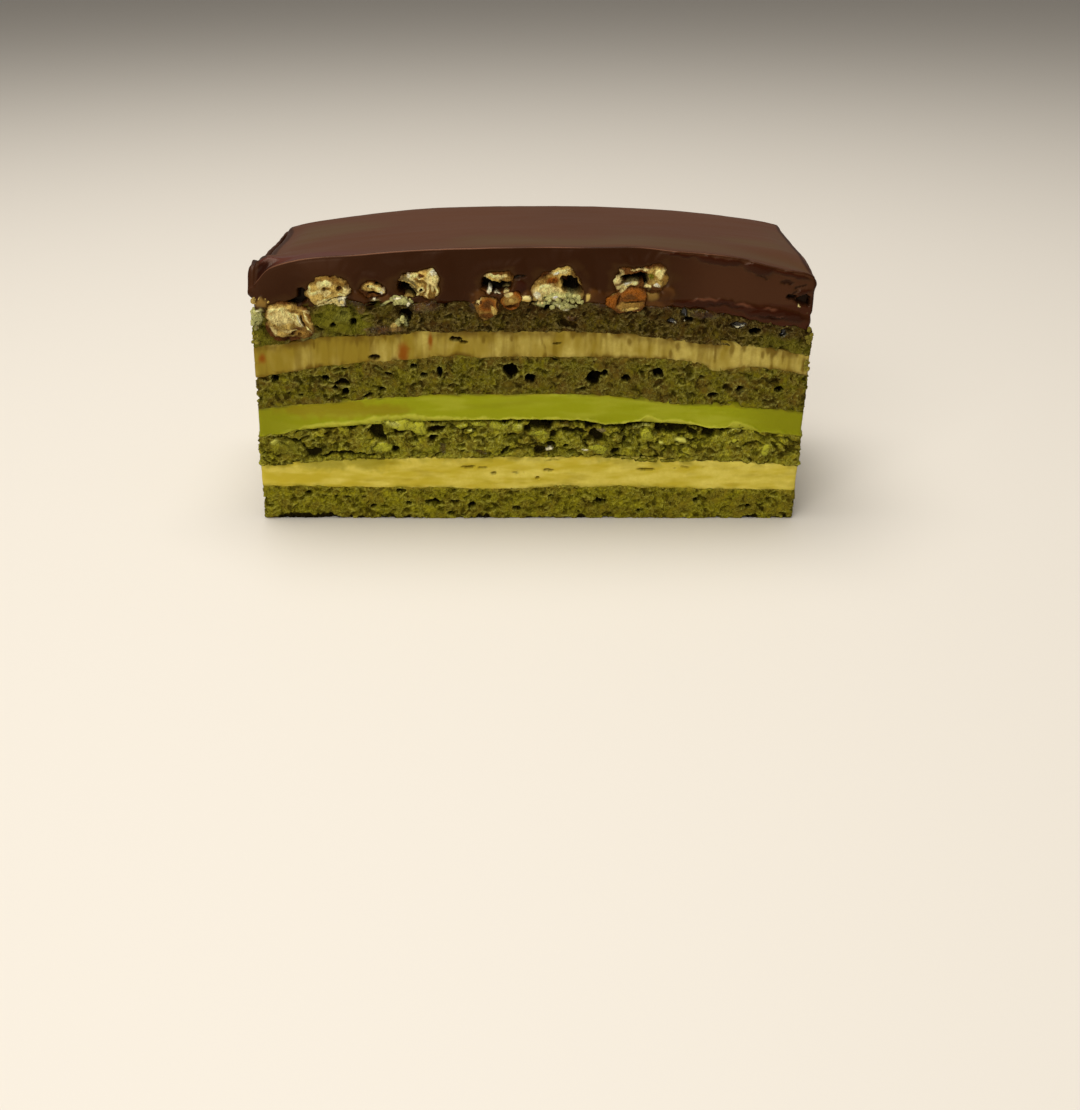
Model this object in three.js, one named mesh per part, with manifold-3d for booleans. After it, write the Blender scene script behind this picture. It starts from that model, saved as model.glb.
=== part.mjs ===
// A cut slice of green tea opera cake, in millimetres, +Z up, its knife-cut front towards -Y.
// Four sheets of green tea sponge alternate with two coffee buttercreams and one green tea cream, under a
// thick chocolate glaze. Broken crisp wafers and caramelised nuts lie between the top sponge and the glaze.
// The slice sags at its two ends, leans a little to the right, and stands on its own flat base.
import * as THREE from "three";
import { mergeVertices } from "three/addons/utils/BufferGeometryUtils.js";
import Module from "manifold-3d";

const wasm = await Module();
wasm.setup();

// Driving dimensions of the slice.
const WIDTH = 97;
const DEPTH = 42;
const LEAN_PER_MM = 0.028; // sideways drift to +X for each millimetre of height
const SAG_POWER = 2.4; // how late the ends start to sag: 2 is a parabola
const BACK_FALL = 1.9; // how much lower the top is at the back than at the front
const GLAZE_ROUND = 1.3; // radius on the glaze's top edge
const WOBBLE = 0.28; // unevenness of the cut sides
const PIECE_GAP = 0.3; // air left round each embedded piece
const PIECE_PROUD = 0.3; // how far an embedded piece stands out of the cut that shows it

// The surfaces between layers, from the base up: height in the middle and at the two ends.
const LEVELS = [
  { middle: 0, left: 0, right: 0 },
  { middle: 6.1, left: 6.6, right: 5.7 },
  { middle: 12.1, left: 10.4, right: 10.4 },
  { middle: 19.4, left: 16.2, right: 16.2 },
  { middle: 24.0, left: 21.2, right: 20.7 },
  { middle: 31.0, left: 27.3, right: 27.7 },
  { middle: 35.5, left: 32.7, right: 31.1 },
  { middle: 40.7, left: 38.9, right: 35.7 },
  { middle: 50.2, left: 46.2, right: 46.4 },
];
const TOP = LEVELS.length - 1;

// Each layer lies between the level of its own number and the next one. Between the two, its long cut
// sides stand out by bulge and its short ends by endBulge, in as many steps as rings.
const LAYERS = [
  { name: "sponge_base", bulge: -0.15, endBulge: -0.15, rings: 2, finish: "sponge" },
  { name: "buttercream_lower", bulge: 0.12, endBulge: 0.12, rings: 2, finish: "buttercream" },
  { name: "sponge_second", bulge: -0.18, endBulge: -0.2, rings: 2, finish: "sponge" },
  { name: "green_tea_cream", bulge: 0.15, endBulge: 0.2, rings: 2, finish: "greenCream" },
  { name: "sponge_third", bulge: -0.15, endBulge: -0.2, rings: 2, finish: "sponge" },
  { name: "buttercream_upper", bulge: 0.12, endBulge: 0.15, rings: 2, finish: "buttercream" },
  { name: "sponge_top", bulge: -0.15, endBulge: -0.25, rings: 2, finish: "sponge" },
  { name: "chocolate_glaze", bulge: 0.35, endBulge: 0.8, rings: 3, finish: "chocolate" },
];

// Crisps and nuts show where a cut goes through them: side is the cut, at is how far along it the piece
// sits from the middle, z is its height, and size is its half width, half height and depth into the cake.
const CRISPS = [
  { side: "front", at: -40.6, z: 37.3, size: [4.5, 3.4, 6] },
  { side: "front", at: -33.6, z: 42.6, size: [4.1, 2.5, 6] },
  { side: "front", at: -25.9, z: 43.0, size: [2.3, 1.5, 4] },
  { side: "front", at: -17.9, z: 43.6, size: [4.0, 3.1, 7] },
  { side: "front", at: -5.6, z: 44.2, size: [3.6, 1.9, 6] },
  { side: "front", at: 5.4, z: 43.4, size: [5.2, 3.8, 7] },
  { side: "front", at: 19.4, z: 44.6, size: [5.9, 2.2, 7] },
  { side: "left", at: -4.5, z: 38.6, size: [4.4, 2.8, 6] },
  { side: "left", at: 9.5, z: 40.2, size: [4.6, 2.4, 6] },
  { side: "right", at: 8.5, z: 38.6, size: [4.2, 2.2, 6] },
  { side: "back", at: 34.0, z: 40.2, size: [4.6, 2.8, 6] },
  { side: "back", at: 17.5, z: 42.0, size: [5.0, 2.7, 7] },
  { side: "back", at: -1.5, z: 42.4, size: [4.4, 3.0, 7] },
  { side: "back", at: -24.0, z: 42.2, size: [5.2, 2.6, 7] },
];
const NUTS = [
  { side: "front", at: -6.9, z: 39.7, size: [2.5, 2.0, 5] },
  { side: "front", at: -1.9, z: 41.0, size: [1.9, 1.2, 4] },
  { side: "front", at: 18.0, z: 40.6, size: [3.7, 1.4, 5] },
  { side: "left", at: 2.2, z: 39.0, size: [1.9, 1.5, 4] },
  { side: "back", at: 25.6, z: 40.6, size: [2.4, 1.7, 5] },
  { side: "back", at: -12.5, z: 41.4, size: [2.6, 1.6, 5] },
];

// Lines of the lattice that every level shares, as shares of the half width and half depth. They crowd
// towards the edges, where the glaze turns over.
const ACROSS = [0, 0.2, 0.4, 0.6, 0.78, 0.91, 0.985, 1];
const INWARD = [0, 0.5, 0.9, 0.965, 1];
const mirrored = (half) => [...half.slice(1).reverse().map((s) => -s), ...half];
const U_LINES = mirrored(ACROSS);
const V_LINES = mirrored(INWARD);

// A slow, repeatable unevenness between -1 and 1, different for each level.
function wobble(seed, a, b) {
  return 0.6 * Math.sin(5.1 * a + 2.3 * seed) + 0.4 * Math.sin(7.7 * b - 1.9 * a + 4.1 * seed);
}

// How far the glaze's top has turned down at a point this far inside its edge: a quarter circle.
function roundFall(inside) {
  const short = Math.max(0, 1 - inside / GLAZE_ROUND);
  return GLAZE_ROUND * (1 - Math.sqrt(1 - short * short));
}

// Height of a level at lattice position u, v, both from -1 to 1.
function levelHeight(level, u, v) {
  const { middle, left, right } = LEVELS[level];
  const end = u < 0 ? left : right;
  let z = middle + (end - middle) * Math.abs(u) ** SAG_POWER;
  z -= BACK_FALL * ((1 + v) / 2) * (level / TOP) ** 2;
  if (level === TOP) {
    const inside = Math.min(((1 - Math.abs(u)) * WIDTH) / 2, ((1 - Math.abs(v)) * DEPTH) / 2);
    z -= roundFall(inside);
  }
  return z;
}

// The point of a level at lattice position u, v.
function levelPoint(level, u, v) {
  const z = levelHeight(level, u, v);
  const x = (u * WIDTH) / 2 + LEAN_PER_MM * z + WOBBLE * wobble(level, v * 1.4, u) * Math.abs(u) ** 6;
  const y = (v * DEPTH) / 2 + WOBBLE * wobble(level + 9, u * 2.6, v) * Math.abs(v) ** 6;
  return new THREE.Vector3(x, y, z);
}

// A closed layer between two neighbouring levels: a lattice below, a lattice above, and rings of points
// round the side that bow out by the layer's bulges.
function layerGeometry(level, { bulge, endBulge, rings }) {
  const points = [];
  const triangles = [];
  const add = (p) => points.push(p.x, p.y, p.z) / 3 - 1;
  const lattice = (at) => V_LINES.map((v) => U_LINES.map((u) => add(levelPoint(at, u, v))));
  const below = lattice(level);
  const above = lattice(level + 1);
  const quad = (a, b, c, d) => triangles.push(a, b, c, a, c, d);
  for (let j = 0; j < V_LINES.length - 1; j++) {
    for (let i = 0; i < U_LINES.length - 1; i++) {
      quad(above[j][i], above[j][i + 1], above[j + 1][i + 1], above[j + 1][i]);
      quad(below[j][i], below[j + 1][i], below[j + 1][i + 1], below[j][i + 1]);
    }
  }

  // The lattice's rim, anticlockwise seen from above: front, right, back, left.
  const lastU = U_LINES.length - 1;
  const lastV = V_LINES.length - 1;
  const rim = [];
  for (let i = 0; i < lastU; i++) rim.push([0, i]);
  for (let j = 0; j < lastV; j++) rim.push([j, lastU]);
  for (let i = lastU; i > 0; i--) rim.push([lastV, i]);
  for (let j = lastV; j > 0; j--) rim.push([j, 0]);

  const ringAt = (step) => {
    if (step === 0) return rim.map(([j, i]) => below[j][i]);
    if (step === rings) return rim.map(([j, i]) => above[j][i]);
    const share = step / rings;
    const bow = Math.sin(Math.PI * share);
    return rim.map(([j, i]) => {
      const low = levelPoint(level, U_LINES[i], V_LINES[j]);
      const high = levelPoint(level + 1, U_LINES[i], V_LINES[j]);
      const p = low.lerp(high, share);
      if (i === 0 || i === lastU) p.x += endBulge * bow * Math.sign(U_LINES[i]);
      if (j === 0 || j === lastV) p.y += bulge * bow * Math.sign(V_LINES[j]);
      return add(p);
    });
  };
  for (let step = 0; step < rings; step++) {
    const lower = ringAt(step);
    const upper = ringAt(step + 1);
    rim.forEach((_, k) => {
      const next = (k + 1) % rim.length;
      quad(lower[k], lower[next], upper[next], upper[k]);
    });
  }
  const geometry = new THREE.BufferGeometry();
  geometry.setAttribute("position", new THREE.Float32BufferAttribute(points, 3));
  geometry.setIndex(triangles);
  return mergeVertices(geometry, 1e-4);
}

// The cuts that pieces show in: which way each faces, and which way runs along it.
const CUTS = {
  front: { out: new THREE.Vector3(0, -1, 0), along: new THREE.Vector3(1, 0, 0), reach: DEPTH / 2 },
  back: { out: new THREE.Vector3(0, 1, 0), along: new THREE.Vector3(1, 0, 0), reach: DEPTH / 2 },
  left: { out: new THREE.Vector3(-1, 0, 0), along: new THREE.Vector3(0, 1, 0), reach: WIDTH / 2 },
  right: { out: new THREE.Vector3(1, 0, 0), along: new THREE.Vector3(0, 1, 0), reach: WIDTH / 2 },
};

// A lumpy embedded piece, sliced flat where the knife went through it. grow makes the pocket that it
// lies in: larger all round, and open at the cut.
function pieceGeometry({ side, at, z, size }, seed, lump, grow = 0) {
  const { out, along, reach } = CUTS[side];
  const [halfWidth, halfHeight, deep] = size;
  const lean = LEAN_PER_MM * z * (side === "left" ? -1 : side === "right" ? 1 : 0);
  const face = reach + lean;
  const ball = new THREE.IcosahedronGeometry(1, 1);
  ball.deleteAttribute("normal");
  ball.deleteAttribute("uv");
  const geometry = mergeVertices(ball, 1e-4);
  const position = geometry.getAttribute("position");
  const p = new THREE.Vector3();
  for (let n = 0; n < position.count; n++) {
    p.fromBufferAttribute(position, n);
    const swell = 1 + lump * Math.sin(3.3 * p.x + seed) * Math.sin(2.9 * p.y - 1.7 * seed + 2.1 * p.z);
    const sideways = p.x * (halfWidth * swell + grow);
    const upward = p.z * (halfHeight * swell + grow);
    let outward = -p.y * (deep * 0.75 * swell + grow) - deep * 0.25;
    if (grow === 0) outward = Math.min(outward, PIECE_PROUD);
    const place = out.clone().multiplyScalar(face + outward).addScaledVector(along, at + sideways);
    position.setXYZ(n, place.x, place.y, z + upward);
  }
  return facingOut(geometry);
}

// Turns a mesh's triangles round if they face inwards.
function facingOut(geometry) {
  const position = geometry.getAttribute("position");
  const index = geometry.index.array;
  const [a, b, c] = [new THREE.Vector3(), new THREE.Vector3(), new THREE.Vector3()];
  let sixVolumes = 0;
  for (let n = 0; n < index.length; n += 3) {
    a.fromBufferAttribute(position, index[n]);
    b.fromBufferAttribute(position, index[n + 1]);
    c.fromBufferAttribute(position, index[n + 2]);
    sixVolumes += a.dot(b.cross(c));
  }
  if (sixVolumes < 0) {
    for (let n = 0; n < index.length; n += 3) [index[n + 1], index[n + 2]] = [index[n + 2], index[n + 1]];
  }
  return geometry;
}

// Conversions between a three.js geometry and a solid that can be cut.
function solidOf(geometry) {
  const vertProperties = geometry.getAttribute("position").array;
  const triVerts = new Uint32Array(geometry.index.array);
  return new wasm.Manifold(new wasm.Mesh({ numProp: 3, vertProperties, triVerts }));
}

function geometryOf(solid) {
  const { vertProperties, triVerts } = solid.getMesh();
  const geometry = new THREE.BufferGeometry();
  geometry.setAttribute("position", new THREE.BufferAttribute(vertProperties, 3));
  geometry.setIndex(new THREE.BufferAttribute(triVerts, 1));
  return geometry;
}

const FINISHES = {
  sponge: { color: 0x5c6422, roughness: 0.95 },
  buttercream: { color: 0xb39a45, roughness: 0.6 },
  greenCream: { color: 0x7d9422, roughness: 0.45 },
  chocolate: { color: 0x2a130b, roughness: 0.35 },
  crisp: { color: 0xb59a5a, roughness: 0.8 },
  nut: { color: 0x9a5a22, roughness: 0.4 },
};

function meshOf(name, geometry, finish) {
  const material = new THREE.MeshStandardMaterial({ ...FINISHES[finish], metalness: 0 });
  const mesh = new THREE.Mesh(geometry, material);
  mesh.name = name;
  return mesh;
}

// Every embedded piece, with its lumpiness.
const pieces = [
  ...CRISPS.map((spec, n) => ({ name: `crisp_${n + 1}`, spec, lump: 0.16, finish: "crisp" })),
  ...NUTS.map((spec, n) => ({ name: `nut_${n + 1}`, spec, lump: 0.06, finish: "nut" })),
];

const cake = new THREE.Group();

// The pieces lie in the glaze and in the top sponge, so both layers have their pockets cut out.
const PIERCED = ["sponge_top", "chocolate_glaze"];
LAYERS.forEach((layer, level) => {
  let geometry = layerGeometry(level, layer);
  if (PIERCED.includes(layer.name)) {
    const pockets = pieces.map(({ spec, lump }, n) => pieceGeometry(spec, n, lump, PIECE_GAP));
    geometry = geometryOf(pockets.reduce((solid, pocket) => solid.subtract(solidOf(pocket)), solidOf(geometry)));
  }
  cake.add(meshOf(layer.name, geometry, layer.finish));
});

pieces.forEach(({ name, spec, lump, finish }, n) => {
  cake.add(meshOf(name, pieceGeometry(spec, n, lump), finish));
});

// The origin is the middle of the base, by the box round the whole slice.
const middle = new THREE.Box3().setFromObject(cake).getCenter(new THREE.Vector3());
cake.position.set(-middle.x, -middle.y, 0);

export default cake;
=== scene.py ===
import bpy
import numpy as np
from mathutils import Euler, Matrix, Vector
from mathutils.bvhtree import BVHTree


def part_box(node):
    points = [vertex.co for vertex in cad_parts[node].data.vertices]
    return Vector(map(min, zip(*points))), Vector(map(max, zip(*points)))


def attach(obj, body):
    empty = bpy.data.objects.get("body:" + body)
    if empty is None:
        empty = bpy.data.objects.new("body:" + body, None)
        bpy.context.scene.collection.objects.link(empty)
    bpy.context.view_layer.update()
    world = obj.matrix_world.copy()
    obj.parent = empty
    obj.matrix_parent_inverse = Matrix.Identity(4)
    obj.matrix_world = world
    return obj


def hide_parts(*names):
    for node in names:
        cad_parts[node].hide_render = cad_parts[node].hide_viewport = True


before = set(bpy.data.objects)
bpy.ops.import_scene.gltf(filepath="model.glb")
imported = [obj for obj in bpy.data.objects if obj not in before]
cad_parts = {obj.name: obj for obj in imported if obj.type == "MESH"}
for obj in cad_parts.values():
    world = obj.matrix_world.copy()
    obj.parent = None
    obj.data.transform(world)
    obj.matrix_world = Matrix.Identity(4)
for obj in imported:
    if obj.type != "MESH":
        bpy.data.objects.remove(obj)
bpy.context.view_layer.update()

# ----------------------------------------
# Base sponge. A thin sheet of joconde, an almond sponge coloured with green tea powder, baked flat and
# soaked with syrup. It is the bottom sheet, and the knife leaves its open crumb showing on every side.
# ----------------------------------------

MM = 0.001

# The sheets from the table up. Level n is the lower side of sheet n, and TOP is the glaze's upper side.
SHEETS = """sponge_base buttercream_lower sponge_second green_tea_cream
    sponge_third buttercream_upper sponge_top chocolate_glaze""".split()
BASE, LOWER, SECOND, GREEN, THIRD, UPPER, CROWN, GLAZE, TOP = range(9)
SAG_POWER = 2.4  # how late the ends of the slice start to sag
CORNER = 0.5  # radius left on the slice's four upright corners
CUT_IN = 0.15  # how far the plain cut faces lie inside the CAD box, to leave room for the crumb
CRUMB_STEP = 0.165  # spacing of the mesh round a sponge
CREAM_STEP = 0.2  # spacing of the mesh round a cream


def middle_of(node):
    """The middle of a CAD node's box, in millimetres."""
    low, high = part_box(node)
    return (np.array(low) + np.array(high)) / 2 / MM


base_low, base_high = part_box("sponge_base")
HALF_WIDTH = (base_high.x - base_low.x) / 2 / MM - CUT_IN
HALF_DEPTH = (base_high.y - base_low.y) / 2 / MM - CUT_IN
base_middle = middle_of("sponge_base")
glaze_middle = middle_of("chocolate_glaze")
LEAN = (glaze_middle[0] - base_middle[0]) / (glaze_middle[2] - base_middle[2])
MIDDLE_X = base_middle[0] - LEAN * base_middle[2]
MIDDLE_Y = base_middle[1]


def level_above(node):
    """A sheet's upper surface as its height in the middle, at its left and right ends, and its fall
    from front to back: five rays straight down give heights, and the sag formula is solved for the
    rest. share and aside say how far out the rays fall, as shares of the half width and half depth."""
    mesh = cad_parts[node].data
    tree = BVHTree.FromPolygons([v.co for v in mesh.vertices], [p.vertices for p in mesh.polygons])
    share, aside = 0.6, 0.5
    high_above = 500
    off_edges = np.array([0.9, 0.02])  # keeps a ray from falling on an edge between two faces

    def ray(u, v):
        x, y = [MIDDLE_X, MIDDLE_Y] + np.array([u * HALF_WIDTH, v * HALF_DEPTH]) + off_edges
        start = Vector((x, y, high_above)) * MM
        return tree.ray_cast(start, Vector((0, 0, -1)))[0].z / MM

    fall = (ray(0, -aside) - ray(0, aside)) / aside
    middle = ray(0, 0) + fall / 2
    left, right = (middle + (ray(u, 0) + fall / 2 - middle) / share**SAG_POWER for u in (-share, share))
    return middle, left, right, fall


LEVELS = [(0.0, 0.0, 0.0, 0.0)] + [level_above(node) for node in SHEETS]


def height(number, x, y):
    """Height of a level: its middle's, moved towards its end's by the share of the half width to the
    power of SAG_POWER, less an even fall from front to back."""
    middle, left, right, fall = LEVELS[number]
    sag = (np.where(x < 0, left, right) - middle) * np.abs(x / HALF_WIDTH) ** SAG_POWER
    return middle + sag - fall * (1 + y / HALF_DEPTH) / 2


def smooth(low, high, value):
    """0 below low, 1 above high, and 3t^2 - 2t^3 of the share t in between. With low above high it
    runs the other way."""
    share = np.clip((value - low) / (high - low), 0, 1)
    return share * share * (3 - 2 * share)


def bell(value, middle, width):
    """A bell curve: e to the minus square of the distance from the middle, in widths."""
    return np.exp(-(((value - middle) / width) ** 2))


def joined(*parts):
    """Coordinates or colour channels, arrays or plain numbers, joined along a new last axis."""
    return np.stack(np.broadcast_arrays(*parts), -1)


def chance(cells, seed):
    """A repeatable number from 0 to 1 for each whole-number cell: its three indices and the seed are
    multiplied by large odd numbers, folded together by exclusive-or, and the middle bits are kept."""
    odd = np.array([73856093, 19349663, 83492791], np.uint64)
    mixed = cells.astype(np.int64).astype(np.uint64) * odd
    folded = mixed[..., 0] ^ mixed[..., 1] ^ mixed[..., 2] ^ np.uint64(seed * 2654435761 + 97)
    folded = (folded ^ (folded >> np.uint64(15))) * np.uint64(2246822519)
    folded = (folded ^ (folded >> np.uint64(13))) * np.uint64(3266489917)
    return ((folded >> np.uint64(16)) & np.uint64(0xFFFF)).astype(float) / 65535


CELL_CORNERS = np.array([[i, j, k] for i in (0, 1) for j in (0, 1) for k in (0, 1)])
LATTICE_TURN = np.array(Euler((0.5, 0.8, 0.3)).to_matrix())  # so that no face runs along the lattice


def noise(points, size, seed):
    """Value noise from -1 to 1: random numbers stand on a turned cubic lattice of this size, and each
    point blends the eight round it by a smooth step along each axis."""
    scaled = points @ LATTICE_TURN / size
    cell = np.floor(scaled)
    share = scaled - cell
    share = share * share * (3 - 2 * share)
    total = 0.0
    for corner in CELL_CORNERS:
        weight = np.prod(np.where(corner == 1, share, 1 - share), axis=-1)
        total = total + weight * chance(cell + corner, seed)
    return 2 * total - 1


def clouds(points, size, seed, octaves=3):
    """Noise summed over octaves, each half the size and half the strength of the last."""
    parts = [noise(points, size / 2**n, seed + 31 * n) / 2**n for n in range(octaves)]
    return sum(parts) / (2 - 2 ** (1 - octaves))


def bubbles(across, up, size, share, small, large, seed, trip=None):
    """Depth of the air bubbles that a cut has opened. The face is ruled into square cells, and a share
    of them hold a ball with a radius of small to large cells, its middle a little before or behind the
    cut. Inside a ball the depth is that of its far wall. A face that runs right round the slice gives
    its length as trip, and takes a whole number of cells."""
    endless = 10**6
    count = endless if trip is None else int(round(trip / size))
    u = across / size if trip is None else across * count / trip
    v = up / size
    deepest = np.zeros(np.broadcast(u, v).shape)
    for i in (0, 1):
        for j in (0, 1):
            column = np.floor(u - 0.5) + i
            row = np.floor(v - 0.5) + j
            cell = joined(column % count, row, seed)
            aside = u - column - 0.2 - 0.6 * chance(cell, seed + 1)
            above = v - row - 0.2 - 0.6 * chance(cell, seed + 2)
            radius = small + (large - small) * chance(cell, seed + 3) ** 1.6
            radius = np.where(chance(cell, seed + 4) < share, radius, 0)
            within = radius**2 - aside**2 - above**2
            sunk = (1.1 * chance(cell, seed + 5) - 0.6) * radius
            far_wall = sunk + np.sqrt(np.maximum(within, 0))
            deepest = np.maximum(deepest, np.where(within > 0, far_wall, 0))
    return deepest * size


def outline(step):
    """Points an even step apart round the slice seen from above, anticlockwise: four straight sides
    joined by quarter circles of the corner radius. Gives each point, its outward direction, its
    distance along the outline, and the outline's whole length."""
    turn = np.linspace(0, np.pi / 2, 7)
    arcs = []
    for side, (x, y) in enumerate([(1, -1), (1, 1), (-1, 1), (-1, -1)]):
        angle = (side - 1) * np.pi / 2 + turn
        arc_x = x * (HALF_WIDTH - CORNER) + CORNER * np.cos(angle)
        arc_y = y * (HALF_DEPTH - CORNER) + CORNER * np.sin(angle)
        arcs.append(joined(arc_x, arc_y, np.cos(angle), np.sin(angle)))
    path = np.concatenate(arcs + [arcs[0][:1]])
    run = np.concatenate([[0], np.cumsum(np.hypot(*np.diff(path[:, :2], axis=0).T))])
    count = int(run[-1] / step)
    at = np.arange(count) * run[-1] / count
    x, y, out_x, out_y = (np.interp(at, run, path[:, k]) for k in range(4))
    length = np.hypot(out_x, out_y)
    return joined(x, y), joined(out_x / length, out_y / length), at, run[-1]


# How ragged the line is where two sheets meet: height and width of its waves.
RAGGED = {
    LOWER: (0.26, 1.4),
    SECOND: (0.3, 1.3),
    GREEN: (0.35, 1.5),
    THIRD: (0.2, 2.0),
    UPPER: (0.5, 1.5),
    CROWN: (0.36, 1.4),
    GLAZE: (0.45, 1.6),
    TOP: (0.12, 9),
}

# Slow bends of those lines along the front cut: place, rise and half width of each.
FRONT_BENDS = {
    LOWER: [(-7, -0.4, 5), (6, 0.6, 4), (18, 0.6, 5)],
    SECOND: [(-32, 0.3, 5), (22, -0.6, 8)],
    GREEN: [
        (-45, -0.3, 4),
        (-37, 0.5, 4),
        (-24, 1.1, 8),
        (14, -0.9, 3.5),
        (21, 0.8, 1.6),
        (26.5, 0.4, 3),
        (32.5, -0.3, 2),
        (37.4, 0.9, 2),
    ],
    THIRD: [(-35, -0.3, 5), (-18, 0.3, 4), (26, -1.0, 8), (38, -0.4, 5)],
    UPPER: [(-44, -0.3, 5), (-15, 0.3, 5), (32.5, -1.3, 4)],
    CROWN: [(-42, -0.4, 3), (-36, 0.5, 4), (-20, 0.4, 4), (28, -0.8, 9)],
    GLAZE: [(-45, 0.9, 3), (-33.2, 1.6, 4), (-16, 0.4, 6), (40, -0.8, 5)],
    TOP: [(-39, 0.5, 6), (17, 0.35, 5), (44, -1.1, 7)],
}


def bent(number, x, y):
    """Rise of a level's front bends: each a bell curve along the front, fading out behind the cut.
    Only the very front of the glaze sags at its corners, with a roll behind the left one."""
    rise = sum(high * bell(x, place, wide) for place, high, wide in FRONT_BENDS[number])
    left_sag = -3.0 * bell(x, -50.4, 3.6) * smooth(-18.6, -20.9, y)
    right_sag = -1.2 * bell(x, 50.4, 2.4) * smooth(-15, -20.5, y)
    left_roll = 1.9 * bell(x, -46.9, 2.5) * smooth(-19.6, -17.4, y) * smooth(-8, -13.5, y)
    return rise * smooth(-8, -19, y) + (left_sag + right_sag + left_roll) * (number == TOP)


def edge_height(number, x, y):
    """Height of the line where two sheets meet: the level's own with its bends, and waves of clouds
    that both sheets share. The base's line is lifted off the table here and there, and most at the
    left of the front."""
    flat = joined(x, y, 17.0 * number)
    if number == BASE:
        front_left = smooth(-34, -38, x) * smooth(-47, -45, x) * (y < 0)
        return 0.02 + smooth(0.0, 0.5, clouds(flat, 1.9, 5) + 0.5 * front_left)
    swing, width = RAGGED[number]
    return height(number, x, y) + bent(number, x, y) + swing * clouds(flat, width, 40 + number, 4)


class Wall:
    """The upright cut face all round a sheet, as a grid with a row for each height and a column for
    each point of the outline. rise and drop are the distances up from its lower edge and down from
    its upper, out is the outward direction, run is the distance round the slice, and front is 1 on
    the front cut."""

    def __init__(self, number, step, rows):
        self.number = number
        self.plan, outward, run, self.trip = outline(step)
        x, y = self.plan.T
        self.low = edge_height(number, x, y)
        self.high = edge_height(number + 1, x, y)
        share = np.linspace(0, 1, rows)[:, None]
        z = self.low + (self.high - self.low) * share
        self.points = joined(x, y, z)
        self.x, self.y, self.z = np.moveaxis(self.points, -1, 0)
        self.out = joined(outward[:, 0] + 0 * z, outward[:, 1], 0.0)
        self.rise = z - self.low
        self.drop = self.high - z
        self.run = np.broadcast_to(run, z.shape)
        self.front = smooth(0.6, 0.9, -self.out[..., 1])


def softened(grid):
    """Each value of a wall's grid averaged with its eight neighbours."""
    wide = grid + np.roll(grid, 1, 1) + np.roll(grid, -1, 1)
    tall = np.concatenate([wide[:1], wide, wide[-1:]])
    return (tall[:-2] + tall[1:-1] + tall[2:]) / 9


CAP_SHARES = np.array([0.985, 0.8, 0.45])
LAP = 0.15  # how far neighbouring sheets reach into each other, out of sight


def cap_rings(ring, number, lap):
    """Rings that close a sheet's flat side: the edge ring shrunk towards the middle, laid on the
    level's own height, and shifted by lap so that no gap is left to see through."""
    x, y = (ring[:, k] * CAP_SHARES[:, None] for k in range(2))
    return joined(x, y, np.maximum(height(number, x, y) + lap, 0))


def dyed(mesh, key, values):
    """Gives each point of a mesh one value, or a colour if values has three columns."""
    if values.shape[1] == 1:
        mesh.attributes.new(key, "FLOAT", "POINT").data.foreach_set("value", values.ravel())
    else:
        rgba = np.append(values, np.ones((len(values), 1)), 1)
        mesh.attributes.new(key, "FLOAT_COLOR", "POINT").data.foreach_set("color", rgba.ravel())


def set_down(mesh, material):
    """Puts a mesh of this material into the scene, and gives its object, of the same name."""
    mesh.materials.append(material)
    piece = bpy.data.objects.new(mesh.name, mesh)
    bpy.context.scene.collection.objects.link(piece)
    return piece


def ring_skin(name, rings, attributes, material):
    """A closed skin over a stack of rings of equal count: four-sided faces between neighbouring rings,
    and a fan to a point in the middle of the first ring and of the last."""
    rows, count = rings.shape[:2]
    ends = np.array([rings[0].mean(0), rings[-1].mean(0)])
    points = np.concatenate([rings.reshape(-1, 3), ends])
    column = np.arange(count)
    after = np.roll(column, -1)
    row = np.arange(rows - 1)[:, None] * count
    quads = joined(row + column, row + after, row + after + count, row + column + count)
    last = (rows - 1) * count
    lower_fan = joined(after, column, rows * count)
    upper_fan = joined(last + column, last + after, rows * count + 1)
    corners = np.concatenate([quads.ravel(), lower_fan.ravel(), upper_fan.ravel()])
    sizes = np.concatenate([np.full(quads.size // 4, 4), np.full(2 * count, 3)])
    mesh = bpy.data.meshes.new(name)
    mesh.vertices.add(len(points))
    mesh.vertices.foreach_set("co", (points * MM).ravel())
    mesh.loops.add(len(corners))
    mesh.loops.foreach_set("vertex_index", corners)
    mesh.polygons.add(len(sizes))
    mesh.polygons.foreach_set("loop_start", np.concatenate([[0], np.cumsum(sizes)[:-1]]))
    mesh.update(calc_edges=True)
    mesh.validate()
    mesh.shade_smooth()
    for key, grid in attributes.items():
        fan_values = grid[[0, -1]].mean(1).reshape(2, -1)
        dyed(mesh, key, np.concatenate([grid.reshape(rows * count, -1), fan_values]))
    return set_down(mesh, material)


def in_place(points):
    """Points of the upright slice moved into the frame: leaned sideways by their height and centred."""
    return points + joined(MIDDLE_X + LEAN * points[..., 2], MIDDLE_Y, 0.0)


def padded(grids, rings, mode="constant"):
    """A wall's grids with rows added for the rings below and above it, empty or like their edge."""
    pad = (rings, (0, 0), (0, 0))
    return {key: np.pad(grid, pad[: grid.ndim], mode) for key, grid in grids.items()}


def sheet(wall, relief, grids, material):
    """Closes a sheet round its wall: the wall pushed outward by relief, and capped below and above."""
    face = wall.points + wall.out * relief[..., None]
    below = cap_rings(face[0], wall.number, 0 if wall.number == BASE else -LAP)[::-1]
    above = cap_rings(face[-1], wall.number + 1, LAP)
    rings = np.concatenate([below, face, above])
    grids = padded(grids, (len(below), len(above)), "edge")
    node = SHEETS[wall.number]
    piece = ring_skin(node + "_cut", in_place(rings), grids, material)
    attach(piece, "root")
    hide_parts(node)


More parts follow.
